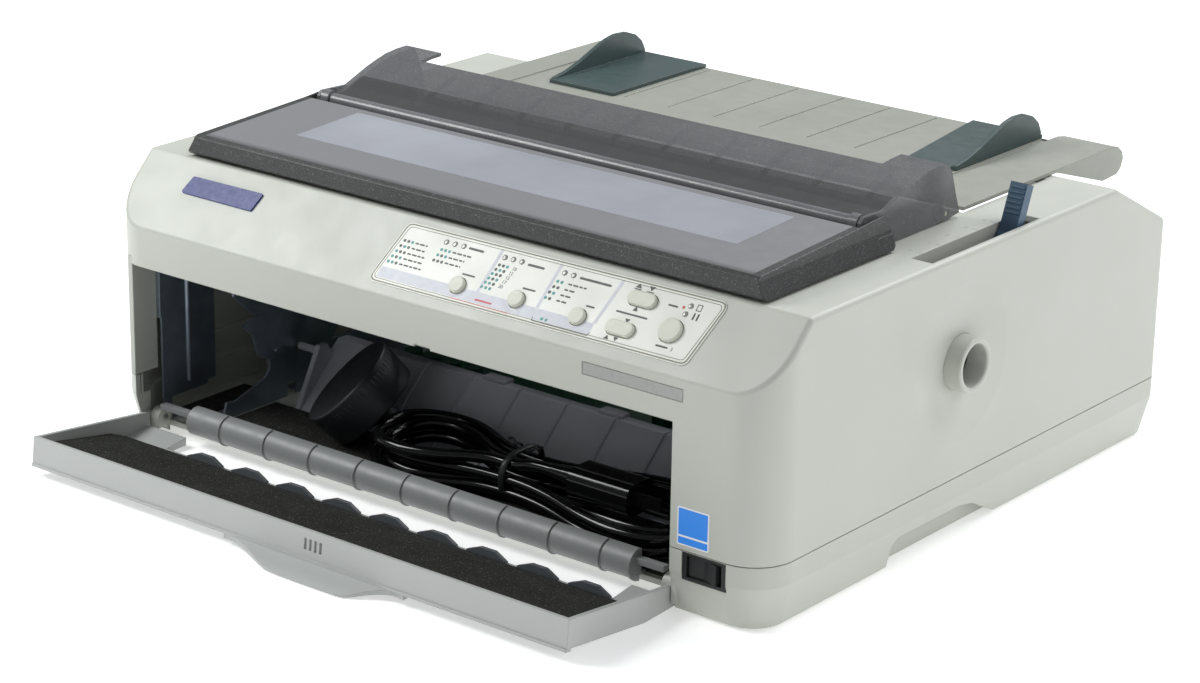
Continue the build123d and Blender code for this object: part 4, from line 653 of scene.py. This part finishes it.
def panel_border():
    bm = bmesh.new()
    for gap, width in ((0.5, 0.65), (2.1, 0.3)):
        outer = rounded(inset(PANEL_OUTLINE, gap), 4.0 - gap * 0.6)
        inner = rounded(inset(PANEL_OUTLINE, gap + width), 4.0 - (gap + width) * 0.6)
        frame_prism(bm, outer, inner, on_slope, PRINT_LOW, PRINT_HIGH)
    return finished(bm, "panel_border")


piece("panel_border", panel_border(), LINE, "case")
BUTTON_GAPS = {(19.0, 14.9): 4.9, (54.5, 15.8): 4.9, (91.0, 15.5): 4.9}
DIVIDERS = [(33.1, 38.6, 31.6, 14.6), (68.5, 38.8, 67.4, 14.6), (104.9, 38.6, 101.2, 14.6)]
BAND_HALF = 0.9
band_outlines = [
    [(x0 - BAND_HALF, y0), (x1 - BAND_HALF, y1), (x1 + BAND_HALF, y1), (x0 + BAND_HALF, y0)]
    for x0, y0, x1, y1 in DIVIDERS
]


def lower_band():
    """The tinted strip under the first three sections, cut round their buttons."""
    outlines = []
    stops = [-28.6]
    for (x, _), r in BUTTON_GAPS.items():
        stops.extend([x - r, x + r])
    stops.append(101.2)
    for left, right in zip(stops[::2], stops[1::2]):
        outlines.append([(left, 8.6), (right, 8.6), (right, 14.4), (left, 14.4)])
    for (x, y), r in BUTTON_GAPS.items():
        low = [(x - r, 8.6), (x + r, 8.6)]
        arc = []
        for k in range(13):
            a = math.radians(-6 - 168 * k / 12)
            arc.append((x + r * math.cos(a), max(8.7, y + r * math.sin(a))))
        outlines.append([*low, *arc])
    return outlines


prisms("panel_band", band_outlines + lower_band(), on_slope, PRINT_LOW, PRINT_HIGH - 0.03, BAND)

LAMPS = [
    (0.1, 34.6), (5.4, 34.7), (10.8, 34.8), (36.3, 34.6), (41.4, 34.7), (46.6, 34.7), (72.3, 34.8),
    (77.6, 34.7), (145.2, 34.8), (144.5, 30.4),
]


def dome(bm, x, y, r, height):
    """A low round lens."""
    levels = [(1.0, PRINT_LOW), (1.0, OVERLAY_TOP + height * 0.4), (0.75, OVERLAY_TOP + height * 0.85)]
    levels.append((0.35, OVERLAY_TOP + height))
    rings = [[bm.verts.new(on_slope(px, py, h)) for px, py in circle(x, y, r * k, 16)] for k, h in levels]
    for ring, following in zip(rings, rings[1:]):
        for i in range(16):
            j = (i + 1) % 16
            bm.faces.new((ring[i], ring[j], following[j], following[i]))
    bm.faces.new(rings[0][::-1])
    bm.faces.new(rings[-1])


lamp_bm = bmesh.new()
for lamp_x, lamp_y in LAMPS:
    dome(lamp_bm, lamp_x, lamp_y, 1.45, 0.35)
piece("panel_lamps", finished(lamp_bm, "panel_lamps"), LAMP, "case", smooth=True)

DARK, GREEN = 0, 1
DOT_R = 0.85
DOT_STEP = 2.45
DOT_ROWS = [
    (-23.5, 30.0, [0, 0, 1]), (-24.2, 26.9, [0, 1, 0]), (-25.0, 23.8, [1, 0, 0]), (-25.7, 20.7, [1, 0, 1]),
    (-26.4, 17.6, [1, 1, 0]), (-0.4, 30.3, [1, 1, 1]), (-1.0, 27.2, [1, 0, 1]), (-1.6, 24.1, [0, 0, 0]),
    (35.4, 30.3, [0, 0, 1]), (34.8, 27.7, [0, 1, 0]), (34.1, 25.2, [1, 0, 0]), (33.5, 22.6, [1, 0, 1]),
    (32.9, 20.1, [1, 1, 0]), (32.2, 17.5, [1, 1, 1]), (70.9, 29.9, [1, 1]), (70.3, 26.8, [0, 0]),
    (69.6, 23.7, [0, 1]), (69.0, 20.6, [1, 0]),
]
dots = {DARK: [], GREEN: []}
for row_x, row_y, kinds in DOT_ROWS:
    for index, kind in enumerate(kinds):
        dots[kind].append(circle(row_x + DOT_STEP * index, row_y, DOT_R, 12))
WORDS = [
    (-16.4, 30.0, 7.0), (-17.0, 26.9, 8.5), (-17.8, 23.8, 10.0), (-18.4, 20.7, 12.0), (-19.2, 17.6, 13.0),
    (6.8, 30.3, 11.5), (6.2, 27.2, 9.0), (5.6, 24.1, 9.0), (77.6, 29.9, 10.0), (77.0, 26.8, 6.0),
    (76.4, 23.7, 6.0), (75.8, 20.6, 6.0),
]


def print_words():
    """Rows of short strokes where the real panel has its small words."""
    outlines = []
    for x, y, length in WORDS:
        reach = 0.0
        step = 0
        while reach < length:
            stroke = (1.5, 2.3, 1.1, 1.9)[step % 4]
            outlines.append(bar(x + reach, y, x + min(reach + stroke, length), y, 0.85))
            reach += stroke + 1.35
            step += 1
    return outlines


ARROWS = [
    [(117.0, 25.6), (119.8, 25.6), (118.4, 28.0)],
    [(115.8, 21.0), (118.6, 21.0), (117.2, 18.6)],
    [(109.6, 8.8), (112.4, 8.8), (111.0, 11.0)][::-1],
    [(114.6, 11.0), (117.4, 11.0), (116.0, 8.8)],
    [(112.4, 37.0), (116.0, 37.0), (114.2, 39.3)],
    [(119.6, 39.3), (123.2, 39.3), (121.4, 37.0)],
]
SYMBOLS = [
    bar(112.4, 36.3, 116.0, 36.3, 0.5),
    bar(119.6, 36.3, 123.2, 36.3, 0.5),
    bar(14.6, 34.6, 22.8, 34.6, 1.2),
    bar(51.0, 34.2, 60.0, 34.2, 1.2),
    bar(82.0, 34.4, 99.5, 34.4, 1.2),
    bar(18.4, 21.2, 25.4, 21.2, 0.9),
    bar(54.8, 22.2, 61.6, 22.2, 0.9),
    bar(92.6, 21.9, 96.8, 21.9, 0.9),
    bar(109.4, 23.4, 126.4, 23.4, 0.9),
    bar(149.2, 28.9, 149.2, 31.7, 0.9),
    bar(151.4, 28.9, 151.4, 31.7, 0.9),
    bar(134.0, 32.8, 138.6, 32.8, 0.9),
    bar(68.2, 7.9, 100.6, 7.9, 0.35),
    bar(68.2, 7.9, 67.6, 9.6, 0.35),
    bar(100.6, 7.9, 101.2, 9.6, 0.35),
    bar(138.0, 12.4, 144.0, 12.4, 0.9),
]
prisms(
    "panel_print", dots[DARK] + print_words() + ARROWS + SYMBOLS, on_slope, PRINT_LOW, PRINT_HIGH, PRINT
)
paper_bm = bmesh.new()
SHEET_OUTER = rectangle(148.6, 33.2, 151.4, 36.6)
SHEET_INNER = rectangle(149.0, 33.6, 151.0, 36.2)
frame_prism(paper_bm, SHEET_OUTER, SHEET_INNER, on_slope, PRINT_LOW, PRINT_HIGH)
piece("panel_sheet_symbol", finished(paper_bm, "panel_sheet_symbol"), PRINT, "case")
menu_dots = [circle(x, 9.9, DOT_R, 12) for x in (73.0, 75.6)]
prisms("panel_dots", dots[GREEN] + menu_dots, on_slope, PRINT_LOW, PRINT_HIGH, TEAL)
RED_MARKS = [bar(18.0, 8.0, 53.6, 8.0, 0.35), bar(32.5, 10.4, 42.0, 10.4, 0.9), circle(141.9, 33.4, 0.8, 12)]
prisms("panel_red_marks", RED_MARKS, on_slope, PRINT_LOW, PRINT_HIGH + 0.01, RED)
PITCH_NUMBERS = [("10", 30.3), ("12", 27.7), ("15", 25.2), ("17", 22.6), ("20", 20.1)]
number_items = [(text, 43.4 - 0.6 * index, y - 0.95, 2.6) for index, (text, y) in enumerate(PITCH_NUMBERS)]
number_items += [("3", 146.0, 11.4, 2.6)]
numerals("panel_numbers", number_items, on_slope, PRINT_LOW, PRINT_HIGH, PRINT)

# ---------------------------------------------------------------- badge, name plate, label, deck marks
BADGE_OUTLINE = [(-170.6, 24.1), (-121.9, 23.9), (-119.9, 34.4), (-168.2, 34.1)]
prisms("badge", [rounded(BADGE_OUTLINE, 1.2)], on_slope, -0.2, 0.9, BADGE)
prisms("name_plate", [rounded(rectangle(102.7, 103.6, 159.6, 109.2), 0.5)], on_front, -0.6, -0.12, PLATE)
LABEL_EDGE = rounded(rectangle(158.6, 35.4, 176.4, 53.9), 0.8)
LABEL_FIELD = rounded(rectangle(159.3, 40.4, 175.7, 53.2), 0.4)
LABEL_STRIP = rectangle(159.3, 36.1, 175.7, 39.4)
prisms("rating_label_white", [LABEL_EDGE], on_front, -0.1, 0.10, LABEL_WHITE)
prisms("rating_label_blue", [LABEL_FIELD], on_front, 0.05, 0.16, LABEL_BLUE)
prisms("rating_label_strip", [LABEL_STRIP], on_front, 0.05, 0.16, LABEL_BLUE)
mark_items = [(str(index), 183.4, y, 4.0) for index, y in enumerate((-34.0, -18.0, -2.0, 14.0, 30.0))]
numerals("deck_marks", mark_items, on_deck, -0.1, 0.06, MARK)
MARK_LINES = [bar(188.4, y, 190.6, y, 0.5) for y in (-32.6, -16.6, -0.6, 15.4, 31.4)]
prisms("deck_mark_lines", MARK_LINES, on_deck, -0.1, 0.06, MARK)

# ---------------------------------------------------------------- stage and light
FLOOR_CORNERS = [(-6, -5), (6, -5), (6, 7), (-6, 7)]
FLOOR_Z = -0.0003
FLOOR_GLOW = 0.36
floor_bm = bmesh.new()
for corner in FLOOR_CORNERS:
    floor_bm.verts.new((*corner, FLOOR_Z))
floor_bm.faces.new(floor_bm.verts)
floor_mesh = bpy.data.meshes.new("floor")
floor_bm.to_mesh(floor_mesh)
floor_bm.free()
FLOOR = surface("floor_paper", (0.92, 0.92, 0.92), 0.9, specular=0.1, mottle=(2.0, 0.01))
floor_shader = FLOOR.node_tree.nodes["Principled BSDF"]
floor_shader.inputs["Emission Color"].default_value = (1.0, 1.0, 1.0, 1.0)
floor_shader.inputs["Emission Strength"].default_value = FLOOR_GLOW
floor_mesh.materials.append(FLOOR)
floor = bpy.data.objects.new("floor", floor_mesh)
bpy.context.scene.collection.objects.link(floor)


def softbox(name, place, target, size, power, colour=(1.0, 1.0, 1.0)):
    light = bpy.data.lights.new(name, "AREA")
    light.shape = "RECTANGLE"
    light.size, light.size_y = size
    light.energy = power
    light.color = colour
    lamp = bpy.data.objects.new(name, light)
    bpy.context.scene.collection.objects.link(lamp)
    lamp.location = place
    lamp.rotation_euler = (Vector(target) - Vector(place)).to_track_quat("-Z", "Y").to_euler()


softbox("left_box", (-0.75, -0.55, 0.85), (-0.15, -0.12, 0.1), (0.5, 0.5), 9.0, (0.98, 1.0, 0.99))
softbox("right_box", (1.7, 0.1, 0.9), (0.1, 0.0, 0.1), (1.2, 1.0), 6.5, (1.0, 0.99, 0.98))
softbox("top_box", (0.2, 1.15, 1.5), (0.0, 0.05, 0.1), (1.8, 1.0), 32.0, (0.97, 0.98, 1.0))

world = bpy.data.worlds.new("studio")
world.use_nodes = True
background = world.node_tree.nodes["Background"]
background.inputs["Color"].default_value = (0.97, 0.98, 1.0, 1.0)
background.inputs["Strength"].default_value = 0.26
bpy.context.scene.world = world
bpy.context.scene.view_settings.view_transform = "Standard"
